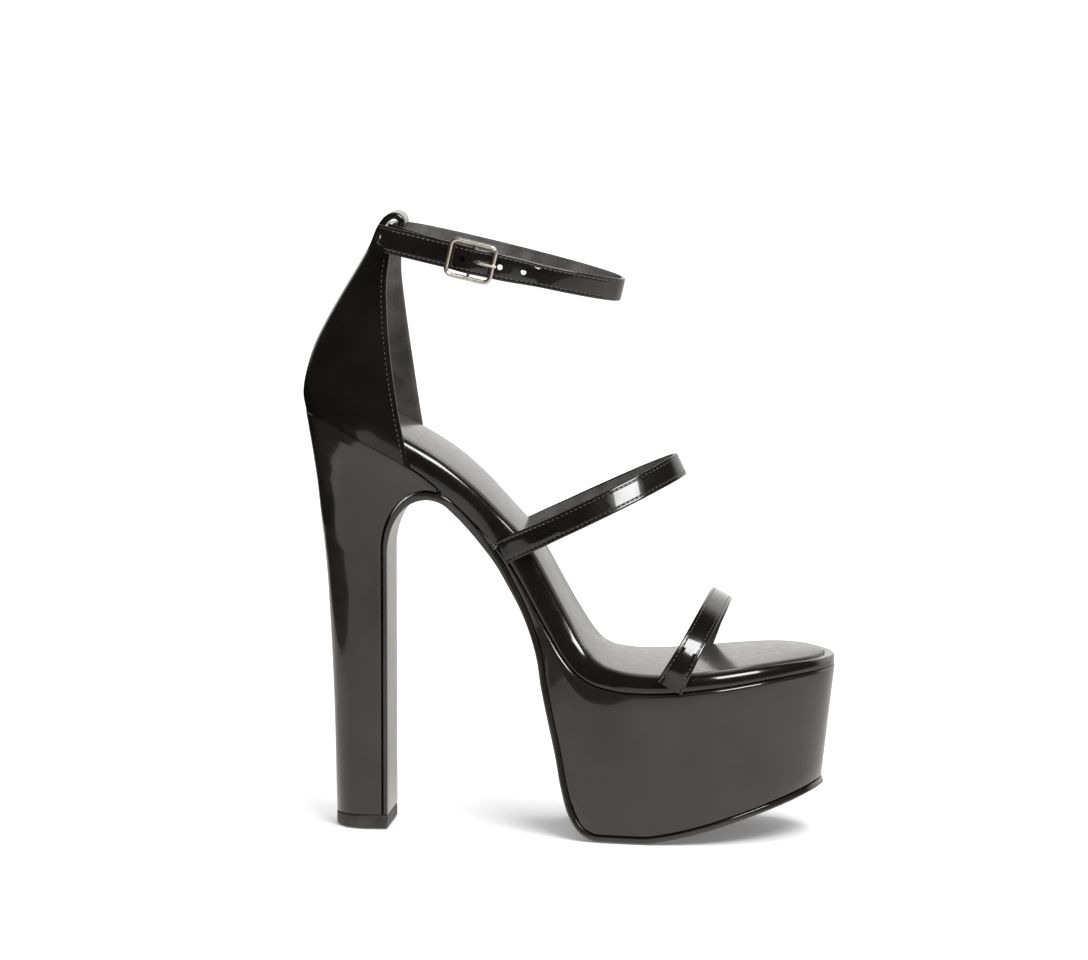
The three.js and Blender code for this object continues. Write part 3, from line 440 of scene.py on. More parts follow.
class Underside:
    def __init__(self):
        rows = underside_rows()
        self.marks = [0.0]
        for a, b in zip(rows, rows[1:]):
            self.marks.append(self.marks[-1] + math.hypot(b[0] - a[0], b[1] - a[1]))
        self.x, self.z, self.thick, self.half, self.swing = (
            column(self.marks, [row[k] for row in rows]) for k in range(5)
        )
        seamed = [(mark, row[5]) for mark, row in zip(self.marks, rows) if row[5] is not None]
        (self.seam,) = columns(seamed)
        self.seam_start = seamed[0][0]
        self.sole_start = self.marks[SOLE_ROW]
        self.length = self.marks[-1]

    def inner(self, where, extra):
        reach = 0.4
        run = self.x(where + reach) - self.x(where - reach)
        rise = self.z(where + reach) - self.z(where - reach)
        size = math.hypot(run, rise)
        depth = self.thick(where) + extra
        return self.x(where) - rise / size * depth, self.z(where) + run / size * depth

    def stations(self, start, step):
        """Even steps, closer together round the toe."""
        toe = self.marks[-TOE_STEPS - 1]
        steps = int((toe - start) / step)
        body = [start + (toe - start) * i / steps for i in range(steps)]
        fine = []
        for a, b in zip(self.marks[-TOE_STEPS - 1:], self.marks[-TOE_STEPS:]):
            fine += [a, (a + b) / 2]
        return body + fine + [self.length]


underside = Underside()


# Materials
def fill(node, **values):
    for socket, value in values.items():
        node.inputs[socket.replace("_", " ")].default_value = value
    return node


def new_node(tree, kind, **values):
    return fill(tree.nodes.new("ShaderNode" + kind), **values)


def node_material(name, base, roughness, **sockets):
    material = bpy.data.materials.new(name)
    material.use_nodes = True
    material.diffuse_color = (*base, 1)
    tree = material.node_tree
    shader = tree.nodes["Principled BSDF"]
    fill(shader, Base_Color=(*base, 1), Roughness=roughness, **sockets)
    return material, tree, shader


def texture(tree, scale, detail):
    """Noise in the object's own space, or cells like pores where detail is None."""
    if detail is None:
        source = new_node(tree, "TexVoronoi", Scale=scale)
    else:
        source = new_node(tree, "TexNoise", Scale=scale, Detail=detail)
    place = new_node(tree, "TexCoord")
    tree.links.new(place.outputs["Object"], source.inputs["Vector"])
    return source.outputs[0]


def surface(name, base, roughness, tone, gloss, bumps, **sockets):
    """A shader whose colour and roughness vary a little, under bumps laid over each other.

    tone, gloss: scale and detail of a noise, and the two values that it runs between.
    bumps: scale and detail of a texture, its strength, and its depth in mm.
    """
    material, tree, shader = node_material(name, base, roughness, **sockets)
    link = tree.links.new
    scale, detail, *colours = tone
    ramp = new_node(tree, "ValToRGB")
    for stop, position, colour in zip(ramp.color_ramp.elements, (0.35, 0.65), colours):
        stop.position = position
        stop.color = (*colour, 1)
    link(texture(tree, scale, detail), ramp.inputs["Fac"])
    link(ramp.outputs["Color"], shader.inputs["Base Color"])
    scale, detail, low, high = gloss
    span = new_node(tree, "MapRange", From_Min=0.3, From_Max=0.7, To_Min=low, To_Max=high)
    link(texture(tree, scale, detail), span.inputs["Value"])
    link(span.outputs["Result"], shader.inputs["Roughness"])
    normal = None
    for scale, detail, strength, depth in bumps:
        bump = new_node(tree, "Bump", Strength=strength, Distance=depth * 0.001)
        link(texture(tree, scale, detail), bump.inputs["Height"])
        if normal is not None:
            link(normal, bump.inputs["Normal"])
        normal = bump.outputs["Normal"]
    link(normal, shader.inputs["Normal"])
    return material


def patent_leather(name, base, wave, roughness=0.16):
    """Leather under a clear lacquer: the skin waves a little and shows faint pores."""
    warm = [v * 1.7 for v in base]
    return surface(
        name, base, roughness, (45, 4, base, warm), (260, 5, roughness * 0.8, roughness * 1.5),
        [(38, 1, wave, 0.5), (900, 3, 0.05, 0.05)],
        Coat_Weight=0.8, Coat_Roughness=0.035, Coat_IOR=1.5, IOR=1.45,
    )


def lining_leather(name, low, high, grain=0.5):
    return surface(
        name, low, 0.5, (130, 6, low, high), (300, 4, 0.4, 0.62),
        [(1500, None, grain, 0.12), (420, 5, grain * 0.6, 0.12)], IOR=1.45,
    )


BLACK = (0.0041, 0.0034, 0.0030)
UPPER = patent_leather("patent_upper", BLACK, 0.05)
COVER = patent_leather("patent_cover", (0.009, 0.0078, 0.0068), 0.012, 0.13)
RAND = patent_leather("patent_rand", BLACK, 0.06)
LINING = lining_leather("strap_lining", (0.045, 0.043, 0.041), (0.095, 0.091, 0.087))
CUP_LINING = lining_leather("cup_lining", (0.05, 0.043, 0.039), (0.085, 0.076, 0.07), 0.35)
EDGE = lining_leather("cut_edge", (0.012, 0.011, 0.01), (0.022, 0.02, 0.018), 0.3)
SOCK = surface(
    "sock_leather", (0.06, 0.058, 0.056), 0.2,
    (60, 4, (0.05, 0.048, 0.046), (0.07, 0.068, 0.065)), (340, 5, 0.14, 0.26),
    [(30, 2, 0.1, 0.5), (1300, 4, 0.08, 0.05)], Coat_Weight=0.2, Coat_Roughness=0.08, IOR=1.5,
)
RUBBER = surface(
    "sole_rubber", (0.028, 0.025, 0.022), 0.5,
    (150, 5, (0.022, 0.02, 0.018), (0.042, 0.038, 0.034)), (500, 4, 0.38, 0.6),
    [(1500, 4, 0.25, 0.08)], IOR=1.48,
)
METAL = surface(
    "buckle_metal", (0.86, 0.81, 0.74), 0.3,
    (220, 4, (0.82, 0.76, 0.69), (0.92, 0.87, 0.8)), (900, 4, 0.24, 0.38),
    [(600, 2, 0.05, 0.05)], Metallic=1.0,
)
THREAD = surface(
    "thread", (0.05, 0.046, 0.042), 0.35,
    (2500, 2, (0.03, 0.028, 0.026), (0.09, 0.085, 0.08)), (1500, 3, 0.25, 0.45),
    [(4000, 2, 0.4, 0.06)], IOR=1.5,
)


def piece(obj, node):
    """A finished piece that stands for a node of the frame."""
    obj.name = node + "_skin"
    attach(obj, "root")
    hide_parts(node)
    return obj


def trim(obj):
    """A piece that the frame has no node for."""
    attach(obj, "root")
    return obj


# Outsole: one strip from the foot of the heel breast, over the arch and under the block.
# The cover wraps its flap and its edges, and the ground side under the block is rubber
def outsole():
    stations = underside.stations(0, 0.9)
    rings = []
    for where in stations:
        half = underside.half(where)
        thick = underside.thick(where)
        edge = min(0.42 * thick, 0.4 * half)
        levels = [(0, 0.5 * half)]
        levels += [(edge * (1 - cos) / thick, half - edge * (1 - sin)) for cos, sin in circle(QUARTER_ROUND)]
        levels += [(0.8, half), (0.93, half - 0.03), (1, half - 0.18)]
        ground = underside.x(where), underside.z(where)
        top = underside.inner(where, 0)
        rows = []
        for level, reach in levels:
            x, z = blend(ground, top, level)
            rows.append((x, underside.swing(where), reach, z))
        rings.append(ring_of(rows))
    size = len(rings[0])
    sole_start = next(i for i, where in enumerate(stations) if where > underside.sole_start)

    def slot_of(k, i):
        return 1 if k >= sole_start and (i < 3 or i >= size - 4) else 0

    return solid_from_rings("outsole", rings, [COVER, RUBBER], slot_of, sharp=50)


# Platform: the wedge that starts in the arch and grows into the block under the ball
def platform():
    rings = []
    for where in underside.stations(underside.seam_start, 1.0):
        seam = min(1, underside.seam(where))
        if seam <= WEDGE_START:
            continue
        below = underside.inner(where, GAP)
        plan, plan_y = insole_plan(seam)
        under = max(TIP_HALF, underside.half(where) - GAP)
        under_y = underside.swing(where)
        top = off_seam(seam, -GAP)
        height = math.dist(top, below)
        roll = min(PLATFORM_ROLL, 0.4 * height, 0.5 * plan)
        foot = min(0.5, 0.2 * height, 0.4 * under)
        levels = [(0, -roll - 1.5)]
        levels += [(roll * (1 - cos), roll * (sin - 1)) for cos, sin in circle(QUARTER_ROUND)]
        rows = []
        for down, inward in levels:
            x, z = off_seam(seam, -GAP - down)
            rows.append((x, plan_y, max(LEAST_REACH, plan + inward), z))
        wall = off_seam(seam, -GAP - roll)
        high = (wall[0], plan_y, plan, wall[1])
        low = (below[0], under_y, under, below[1])
        rows += [blend(high, low, share) for share in (0.12, 0.3, 0.5, 0.7, 0.88)]
        x, z = blend(below, wall, foot / max(height, 1))
        rows.append((x, under_y, under, z))
        rows.append((below[0], under_y, max(LEAST_REACH, under - foot), below[1]))
        rings.append(ring_of(rows))
    return solid_from_rings("platform", rings, [COVER], sharp=50)


# Insole: the wrapped board that the foot stands on, with rolled sides
def insole():
    rings = []
    for along in stations_between(INSOLE_BACK, SEAT_ROUND, TOE_ROUND, 1, 40, 150):
        half, swing = insole_plan(along)
        thick = insole_thick(along) * INSOLE_THICKNESS
        roll = min(INSOLE_ROLL, 0.5 * half)
        rise = 0.7 * thick
        foot = 0.15 * thick
        levels = [(0, 0.5 * roll), (0, 0.3 * roll)]
        levels += [(foot * (1 - cos), 0.3 * roll * (1 - sin)) for cos, sin in circle((30, 60, 90))]
        levels.append((0.5 * (foot + thick - rise), 0))
        for cos, sin in circle((0, 8, 16, 25, 35, 45, 56, 66, 78, 90)):
            levels.append((thick - rise * (1 - sin), roll * (1 - cos)))
        levels.append((thick, roll + 0.6))
        reaches = [(above, max(LEAST_REACH, half - inset)) for above, inset in levels]
        rings.append(seam_ring(along, swing, reaches))
    return solid_from_rings("insole", rings, [RAND], sharp=50)


# Sock: the lining sheet on the insole, a little crowned along its middle
def sock():
    inset = SOCK_INSET / SHOE_LENGTH
    back = INSOLE_BACK + inset
    front = 1 - 1.4 * inset
    rings = []
    for along in stations_between(back, SEAT_ROUND, TOE_ROUND, front, 34, 140):
        rounded = round_ends(along, back, SEAT_ROUND, TOE_ROUND, front)
        half = max(TIP_HALF, plan_half(along) * HALF_BALL * rounded - SOCK_INSET)
        floor_level = insole_thick(along) * INSOLE_THICKNESS + SOCK_LIFT
        top = floor_level + SOCK_THICKNESS
        crown = SOCK_CROWN * min(1, half / 20) + GAP - SOCK_LIFT
        edge = min(0.5, 0.3 * half)
        levels = [(floor_level, half)]
        levels += [(top - edge * (1 - sin), half - edge * (1 - cos)) for cos, sin in circle((0, 30, 60, 90))]
        for share in (0.9, 0.8, 0.65, 0.5, 0.35, 0.2, 0.07):
            levels.append((top + crown * (1 - share ** 2.2), share * (half - edge)))
        rings.append(seam_ring(along, plan_swing(along) * HALF_BALL, levels))
    return solid_from_rings("sock", rings, [SOCK], sharp=50)


# Heel: D-shaped sections that stand upright in the column and lie back onto the seat.
# Each row: share of the rake at the back, rise, part of the front's curve, spread and bow
HEEL_TABLE = [
    (1, 0, 0, 0, 0), (0.91, 0.294, 0.42, 0, 0), (0.75, 0.54, 0.8, 0.01, 0),
    (0.625, 0.656, 0.96, 0.04, 0), (0.49, 0.741, 1.15, 0.12, 0.03), (0.375, 0.82, 1.4, 0.3, 0.15),
    (0.25, 0.885, 1.62, 0.53, 0.35), (0.13, 0.94, 1.82, 0.76, 0.62), (0.055, 0.975, 2, 0.93, 0.86),
]
UNDER_LIP = (0.02, 0.988, 2.55, 0.99, 0.95)
heel_readers = columns([(i, *row) for i, row in enumerate(HEEL_TABLE)])
HEEL_STEPS = 96
COLUMN_HALF = HEEL_WIDTH / 2
SEAT_HALF = insole_plan(0.2)[0] + GAP + CUP_WALL
BACK_ROUND_SHARE = 0.62


def heel_front(part):
    marks = BREAST_MARKS + [3]
    where = float(np.interp(part, marks, underside.marks[:len(marks)]))
    return underside.inner(where, BREAST_GAP)


LIP_BACK = (place_x(SEAT_BACK), seam_height(SEAT_BACK) - GAP)
LIP_X = heel_front(UNDER_LIP[2])[0]
LIP_FRONT = (LIP_X, seam_height(share_of(LIP_X)) - GAP)


def heel_ring(back, front, half, front_half, bow, shrink=0):
    depth = front[0] - back[0]

    def curve(x):
        straight = blend(LIP_BACK, LIP_FRONT, (x - LIP_BACK[0]) / (LIP_X - LIP_BACK[0]))
        return seam_height(share_of(x)) - GAP - straight[1]

    profile = [(BACK_ROUND_SHARE * (1 - cos), half * sin) for cos, sin in circle(range(3, 91, 3))]
    edge = HEEL_EDGE / depth
    for step in range(1, 6):
        share = BACK_ROUND_SHARE + step / 6 * (1 - edge - BACK_ROUND_SHARE)
        profile.append((share, half + smooth_part(step, 0, 6) * (front_half - half)))
    for cos, sin in circle(range(0, 91, 18)):
        profile.append((1 - edge * (1 - sin), front_half - HEEL_EDGE * (1 - cos)))
    profile.append((1, 0.5 * front_half))
    rows = []
    for share, side in profile:
        share += shrink / depth * (0.5 - share) * 2
        x, z = blend(back, front, share)
        rise = curve(x) - share * curve(front[0])
        rows.append((x, 0, side * (1 - shrink / half), z + bow * rise))
    return ring_of(rows)


def heel():
    full = LIP_BACK[1] - FOOT_Z

    def ring(rake, rise, part, spread, bow, front_half):
        back = (LIP_BACK[0] + rake * HEEL_RAKE, FOOT_Z + rise * full)
        half = COLUMN_HALF + spread * (SEAT_HALF - COLUMN_HALF)
        return heel_ring(back, heel_front(part), half, min(half, front_half), bow)

    rings = []
    for k in range(HEEL_STEPS + 1):
        row = [read(k / HEEL_STEPS * (len(HEEL_TABLE) - 1)) for read in heel_readers]
        rings.append(ring(*row, breast_half(row[2])))
    start = breast_half(2)
    lip_half = insole_plan(share_of(LIP_X))[0]
    for t in (0.35, 0.7, 1):
        rings.append(ring(*blend(HEEL_TABLE[-1], UNDER_LIP, t), start + t * (lip_half - start)))
    rings.append(heel_ring(LIP_BACK, LIP_FRONT, SEAT_HALF, lip_half, 1))
    return solid_from_rings("heel", rings, [COVER], sharp=42)


# Top piece: the rubber pad under the heel. Each row: height, and how far its edge is drawn in
TOP_PIECE_TABLE = [(0, 0.5), (0.12, 0.24), (0.4, 0.04), (0.7, 0), (4.3, 0), (4.75, 0.06), (5, 0.3)]


def top_piece():
    back = LIP_BACK[0] + HEEL_RAKE
    rings = [
        heel_ring((back, z), (BREAST_X, z), COLUMN_HALF, COLUMN_HALF, 0, shrink)
        for z, shrink in TOP_PIECE_TABLE
    ]
    return solid_from_rings("top_piece", rings, [RUBBER], sharp=42)


# Heel cup: a thin wall that leans from the seat towards the ankle
cup_back, cup_front, cup_half, cup_round = columns([
    (0, 0.005, 0.215, 1, 0.164), (0.1, 0, 0.208, 1.008, 0.164), (0.25, 0.008, 0.196, 0.986, 0.154),
    (0.4, 0.024, 0.186, 0.942, 0.139), (0.55, 0.048, 0.178, 0.885, 0.122),
    (0.7, 0.0755, 0.1725, 0.822, 0.105), (0.85, 0.1045, 0.17, 0.74, 0.092),
    (1, 0.132, 0.1755, 0.63, 0.082),
])
CUP_FORWARD = 1.6
CUP_FRONT_DROP = 3


def cup_place(around, up, inward):
    turn = abs(around)
    sweep = 1 - math.cos(turn * math.pi / 2)
    forward = CUP_FORWARD * math.sin(min(up, 1) * math.pi) * turn if around > 0 else 0
    back = place_x(cup_back(up)) + inward
    front = place_x(cup_front(up)) + forward
    x = back + sweep * (front - back)
    rounded = cup_round(up) * SHOE_LENGTH - inward

    def arc(run):
        return math.sqrt(max(0, 1 - max(0, 1 - run / rounded) ** 2))

    half = cup_half(up) * SEAT_HALF - inward
    y = math.copysign(half * arc(x - back) / arc(front - back), around) if around else 0
    rest = seam_height(cup_back(0) + sweep * (cup_front(0) - cup_back(0)))
    top = seam_height(SEAT_BACK) + CUP_HEIGHT - CUP_FRONT_DROP * sweep
    return np.array([x, y, rest + up * (top - rest)])


CUP_TOP = cup_place(0, 1, CUP_WALL / 2)
CUP_STEPS = 150
CUP_LEVELS = 56
CUP_EDGE_REACH = 36
TAB_STEPS = 120
TAB_TABLE = [
    (-0.3, -0.75), (0, -0.06), (0.3, 0.6), (0.64, 1.0), (0.98, 1.08), (1.22, 0.86),
    (1.12, 0.44), (0.74, -0.2), (0.23, -0.74), (-0.35, -1.18), (-0.66, -1.46),
]


def heel_cup():
    radius = CUP_WALL / 2
    arounds = [-1 + 2 * i / CUP_STEPS for i in range(CUP_STEPS + 1)]
    near = [-1 + d for d in (0.0006, 0.0025, 0.006)]
    arounds = sorted(arounds + near + [-v for v in near])
    top = 1 - radius / CUP_HEIGHT
    ups = [top * k / CUP_LEVELS for k in range(CUP_LEVELS + 1)]
    rim = circle(range(20, 180, 20))
    rings = []
    for around in arounds:
        to_edge = max(0, radius - (1 - abs(around)) * CUP_EDGE_REACH)
        inset = min(radius * 0.96, radius - math.sqrt(max(0, radius ** 2 - to_edge ** 2)))
        ring = [cup_place(around, up, inset) for up in ups]
        for cos, sin in rim:
            ring.append(cup_place(around, top + radius * sin / CUP_HEIGHT, radius + (inset - radius) * cos))
        ring += [cup_place(around, up, CUP_WALL - inset) for up in ups[::-1]]
        rings.append(ring)
    size = len(rings[0])
    first_inner = CUP_LEVELS + 6

    def slot_of(_, i):
        return 1 if first_inner <= i < size - 1 else 0

    return solid_from_rings("heel_cup", rings, [UPPER, CUP_LINING], slot_of, sharp=60)


def tab():
    """The band that folds over the ankle strap at the cup's top, padded in the middle of its length."""
    route = Route([
        (CUP_TOP[0] + run * ANKLE_WIDTH, 0, CUP_TOP[2] + rise * ANKLE_WIDTH) for run, rise in TAB_TABLE
    ])
    half = TAB_WIDTH / 2
    profile = [(half * 0.4, -1), (half - 1.6, -1), (half - 1.3, -0.9), (half - 1.0, -1)]
    profile += [(half - 0.6 * (1 - cos), sin) for cos, sin in circle(HALF_ROUND)]
    profile += [(half - 1.0, 1), (half - 1.3, 0.84), (half - 1.6, 1), (half * 0.4, 1.04)]
    rings = []
    for i in range(TAB_STEPS + 1):
        thick = (TAB_THICKNESS + TAB_PADDING * math.sin(math.pi * i / TAB_STEPS)) / 2
        length = route.length * i / TAB_STEPS
        way = route.tangent(length)
        out = np.array([-way[2], 0, way[0]])
        rings.append(section(route.at(length), np.array([0, 1, 0]), out * thick, profile))
    return solid_from_rings("cup_tab", rings, [UPPER], sharp=60)


# Straps: flat bands with rounded edges, and a sunk line where they are stitched
STITCH_IN = 1.25
SUNK_LINE = [(-0.5, 0), (-0.22, 0.04), (0, 0.1), (0.22, 0.04), (0.42, 0)]
INNER_SIDES = 7


def band_profile(width, thickness):
    """Half of a band's section, from the middle of its inner face round the edge to the outer."""
    half = width / 2
    thick = thickness / 2
    line = half - STITCH_IN
    edge = min(0.42, thick * 0.9)
    profile = [(0.15 * half, -thick)]
    profile += [(line + off, down - thick) for off, down in SUNK_LINE]
    for cos, sin in circle(HALF_ROUND):
        profile.append((half - edge * (1 - cos), math.copysign(thick - edge, sin) + edge * sin))
    profile += [(line + off, thick - down) for off, down in SUNK_LINE[::-1]]
    return profile + [(0.6 * half, thick + 0.03), (0.35 * half, thick + 0.05), (0.15 * half, thick + 0.055)]


def band(name, stations):
    """stations: middle, across, out, width, thickness."""
    rings = [
        section(middle, across, out, band_profile(width, thickness))
        for middle, across, out, width, thickness in stations
    ]
    size = len(rings[0])

    def slot_of(_, i):
        return 1 if i < INNER_SIDES or i >= size - 1 - INNER_SIDES else 0

    return solid_from_rings(name, rings, [UPPER, LINING], slot_of, sharp=70)


# Stitches: each a small rounded loop of thread that dips at both ends
STITCH_PITCH = 1.9
STITCH_LENGTH = 1.45
STITCH_WIDTH = 0.34
STITCH_HEIGHT = 0.2
STITCH_MARGIN = 0.3
STITCH_FACES = [
    (k + i, k + (i + 1) % 5, k + 5 + (i + 1) % 5, k + 5 + i) for k in range(0, 20, 5) for i in range(5)
] + [(0, 1, 2, 3, 4), (24, 23, 22, 21, 20)]


def stitch(middle, way, out):
    across = np.cross(way, out)
    points = []
    for t in (-1, -0.5, 0, 0.5, 1):
        rise = math.sqrt(1 - t ** 4)
        centre = middle + way * (t * STITCH_LENGTH / 2) + out * (STITCH_HEIGHT * (rise - 1) * 0.9)
        swell = 0.35 + 0.65 * rise
        for cos, sin in circle((0, 45, 90, 135, 180)):
            points.append(
                centre + across * (cos * STITCH_WIDTH / 2 * swell) + out * (sin * STITCH_HEIGHT * swell)
            )
    return points


def stitches(name, lines):
    """lines: lists of (place, out) along each seam."""
    points = []
    faces = []
    for line in lines:
        places = np.array([row[0] for row in line])
        outs = np.array([row[1] for row in line])
        runs = runs_along(places)
        sewn = runs[-1] - 2 * STITCH_MARGIN
        count = int(sewn / STITCH_PITCH)
        for k in range(count):
            run = STITCH_MARGIN + (k + 0.5) * sewn / count
            out = unit(read_at(run, runs, outs))
            way = read_at(run + STITCH_MARGIN, runs, places) - read_at(run - STITCH_MARGIN, runs, places)
            way = unit(way - out * np.dot(way, out))
            start = len(points)
            points += stitch(read_at(run, runs, places), way, out)
            faces += [tuple(start + i for i in face) for face in STITCH_FACES]
    return mesh_object(name, points, faces, [THREAD], sharp=60)


def strap_lines(stations, skip_start=1.0, skip_end=1.0):
    """The four seams of a strap: both edges, outer face and inner face."""
    runs = runs_along(np.array([row[0] for row in stations]))
    kept = [row for row, run in zip(stations, runs) if skip_start <= run <= runs[-1] - skip_end]
    lines = []
    for face in (1, -1):
        for sign in (-1, 1):
            line = []
            for middle, across, out, width, thickness in kept:
                place = middle + across * sign * (width / 2 - STITCH_IN)
                line.append((place + out * face * (thickness / 2 - 0.12), out * face))
            lines.append(line)
    return lines


INSTEP_TABLE = [
    (0, 1), (0.05, 1.01), (0.1, 1.05), (0.2, 1.14), (0.35, 1.21), (0.5, 1.2), (0.64, 1.11),
    (0.77, 0.94), (0.87, 0.71), (0.945, 0.46), (0.985, 0.24), (1, 0),
]
TOE_STRAP_TABLE = [
    (0, 1), (0.1, 1.0), (0.2, 1.005), (0.34, 0.99), (0.5, 0.935), (0.64, 0.85), (0.77, 0.72),
    (0.88, 0.54), (0.95, 0.35), (0.988, 0.17), (1, 0),
]


def foot_strap(table, foot_along, slope, lean, reach, width, flare, shift, ends):
    """Stations of a strap over the foot; lean is how far it tips towards the foot on its way up."""
    slope = math.radians(slope)
    foot = off_seam(foot_along, 0.5 * width * abs(math.sin(math.radians(ends))) + GAP)
    edges = [insole_plan(foot_along + side * width / 2 / SHOE_LENGTH) for side in (-1, 0, 1)]
    clear = GAP + STRAP_THICKNESS / 2
    half_to = {sign: max(half + sign * swing for half, swing in edges) + clear for sign in (-1, 1)}
    up = np.array([math.cos(slope), 0, math.sin(slope)])
    upright = np.array([-math.sin(slope), 0, math.cos(slope)])

    def place(row, sign):
        sideways = sign * row[1] * half_to[sign]
        forward = shift * (1 - row[0]) if sign > 0 else 0
        return np.array([foot[0] + forward, sideways, foot[1]]) + up * row[0] * reach

    route = Route([place(row, -1) for row in table] + [place(row, 1) for row in table[-2::-1]])
    stations = []
    steps = 200
    for i in range(steps + 1):
        t = i / steps
        length = route.length * t
        tip = math.radians(lean) * math.sin(t * 2 * math.pi)
        across = upright * math.cos(tip) + np.array([0, math.sin(tip), 0])
        out = unit(np.cross(route.tangent(length), across))
        near = max(0, 1 - min(t, 1 - t) * 7)
        stations.append((route.at(length), across, out, width + flare * near, STRAP_THICKNESS))
    return stations


# Ankle strap: a loop in a sloping plane, folded round the buckle's bar
LOOP_TABLE = [
    (0, 0), (0.004, 0.2), (0.02, 0.42), (0.07, 0.68), (0.15, 0.87), (0.25, 0.97), (0.34, 1),
    (0.48, 1), (0.62, 0.95), (0.75, 0.84), (0.86, 0.67), (0.94, 0.46), (0.985, 0.24), (1, 0),
]
(loop_side,) = columns(LOOP_TABLE)
LOOP_LEAN = 17
LOOP_DOWN = np.array([math.cos(ANKLE_SLOPE), 0, -math.sin(ANKLE_SLOPE)])
LOOP_UP = np.array([math.sin(ANKLE_SLOPE), 0, math.cos(ANKLE_SLOPE)])
LOOP_BACK = np.array([CUP_TOP[0] + 0.47 * ANKLE_WIDTH, 0, CUP_TOP[2] + 0.3 * ANKLE_WIDTH])
LOOP_HALF = LOOP_WIDTH / 2


def loop_place(run, side):
    return LOOP_BACK + LOOP_DOWN * run + np.array([0, side, 0])


def loop_point(row, sign):
    return loop_place(row[0] * LOOP_LENGTH, sign * row[1] * LOOP_HALF)


def loop_across(point):
    run = float(np.dot(point - LOOP_BACK, LOOP_DOWN))
    side = abs(point[1]) / LOOP_HALF
    turn = math.radians(LOOP_LEAN * max(0, 1 - run / 14) * max(0, 1 - side))
    return LOOP_UP * math.cos(turn) + LOOP_DOWN * math.sin(turn)


BAR_RUN = 0.394 * LOOP_LENGTH
FRAME_RUN = BUCKLE_LENGTH / 2
BAR_DEPTH = FOLD_THICKNESS / 2 + 0.2 + BAR_WIRE / 2
FOLD_DEPTH = BAR_DEPTH + BAR_WIRE / 2 + 0.2 + FOLD_THICKNESS / 2
TURN_RADIUS = FOLD_DEPTH / 2
OVER_BAR = FOLD_DEPTH + FOLD_THICKNESS / 2 + GAP + STRAP_THICKNESS / 2
UNDER_FRAME = STRAP_THICKNESS + GAP
FRAME_DEPTH = UNDER_FRAME + STRAP_THICKNESS / 2 + GAP + BUCKLE_WIRE / 2


def buckle_place(run, up, depth):
    return loop_place(BAR_RUN + run, -LOOP_HALF - depth) + LOOP_UP * up


def ankle_route():
    fold = [
        buckle_place(TURN_RADIUS * cos, 0, TURN_RADIUS * (1 + sin))
        for cos, sin in circle((90, 45, 0, -45, -90))
    ]
    fold_end = buckle_place(-0.65 * FRAME_RUN, 0, 0.6 * STRAP_THICKNESS + GAP + FOLD_THICKNESS / 2)
    behind = [row for row in LOOP_TABLE if row[0] * LOOP_LENGTH < BAR_RUN - 0.5 * FRAME_RUN]
    ahead = [row for row in LOOP_TABLE if row[0] * LOOP_LENGTH > BAR_RUN + 2 * FRAME_RUN]
    free_end = [
        (1.75, 0.35 * UNDER_FRAME), (1.35, 0.8 * UNDER_FRAME), (1, UNDER_FRAME),
        (0.55, 0.55 * OVER_BAR + 0.45 * UNDER_FRAME), (0, OVER_BAR),
        (-0.5, 0.7 * OVER_BAR + 0.3 * UNDER_FRAME), (-1, UNDER_FRAME), (-1.5, UNDER_FRAME),
        (-2.2, 0.98 * UNDER_FRAME), (-3, 0.9 * UNDER_FRAME), (-4.08, 0.72 * UNDER_FRAME),
    ]
    points = [fold_end, *fold, buckle_place(-0.35 * FRAME_RUN, 0, 0)]
    points += [loop_point(row, -1) for row in behind[:0:-1]]
    points += [loop_point(row, 1) for row in LOOP_TABLE]
    points += [loop_point(row, -1) for row in ahead[-2::-1]]
    points += [buckle_place(run * FRAME_RUN, 0, depth) for run, depth in free_end]
    return Route(points, 6000)


# The band is wider on the outer side, from beside the tab to past the buckle
def ankle_width(point):
    run = float(np.dot(point - LOOP_BACK, LOOP_DOWN))
    outer = smooth_part(-point[1] / LOOP_HALF, 0.25, 0.75)
    near = smooth_part(BAR_RUN + 3.6 * FRAME_RUN - run, 0, 2.4 * FRAME_RUN)
    return ANKLE_WIDTH + BUCKLE_WIDEN * outer * near


# The free end is cut at a slant: how far, over which length, and only within the band itself
TIP_CUT = 4.2
TIP_REACH = 3
TIP_THICKNESS = 1.2
FOLD_STEPS = 60
LOOP_STEPS = 420


def ankle_strap():
    route = ankle_route()
    total = route.length
    fine = FRAME_RUN + 4 * TURN_RADIUS
    lengths = [fine * i / FOLD_STEPS for i in range(FOLD_STEPS)]
    lengths += [fine + (total - fine) * i / LOOP_STEPS for i in range(LOOP_STEPS + 1)]
    stations = []
    for length in lengths:
        middle = route.at(length)
        across = loop_across(middle)
        out = unit(np.cross(across, route.tangent(length)))
        soft = min(1, max(0, (length - FOLD_DEPTH * 3 - 2) / 8))
        thickness = FOLD_THICKNESS + soft * (STRAP_THICKNESS - FOLD_THICKNESS)
        stations.append((middle, across, out, ankle_width(middle), thickness))
    obj = band("ankle_strap", stations)
    tip, cut, out = stations[-1][:3]
    way = route.tangent(total)
    for vertex in obj.data.vertices:
        place = np.array(vertex.co) * 1000
        back = float(np.dot(tip - place, way))
        if -0.1 < back < TIP_REACH and abs(np.dot(place - tip, out)) < TIP_THICKNESS:
            height = float(np.dot(place - tip, cut)) / ANKLE_WIDTH
            moved = place + way * TIP_CUT * height * (1 - max(back, 0) / TIP_REACH)
            vertex.co = Vector(moved * 0.001)
    return obj, stations


# Cutters for the holes and slots of the ankle strap
HOLE_SIDES = 28


def cutter(points, faces):
    return mesh_object("cutter", points, facing_out(points, faces), [EDGE])


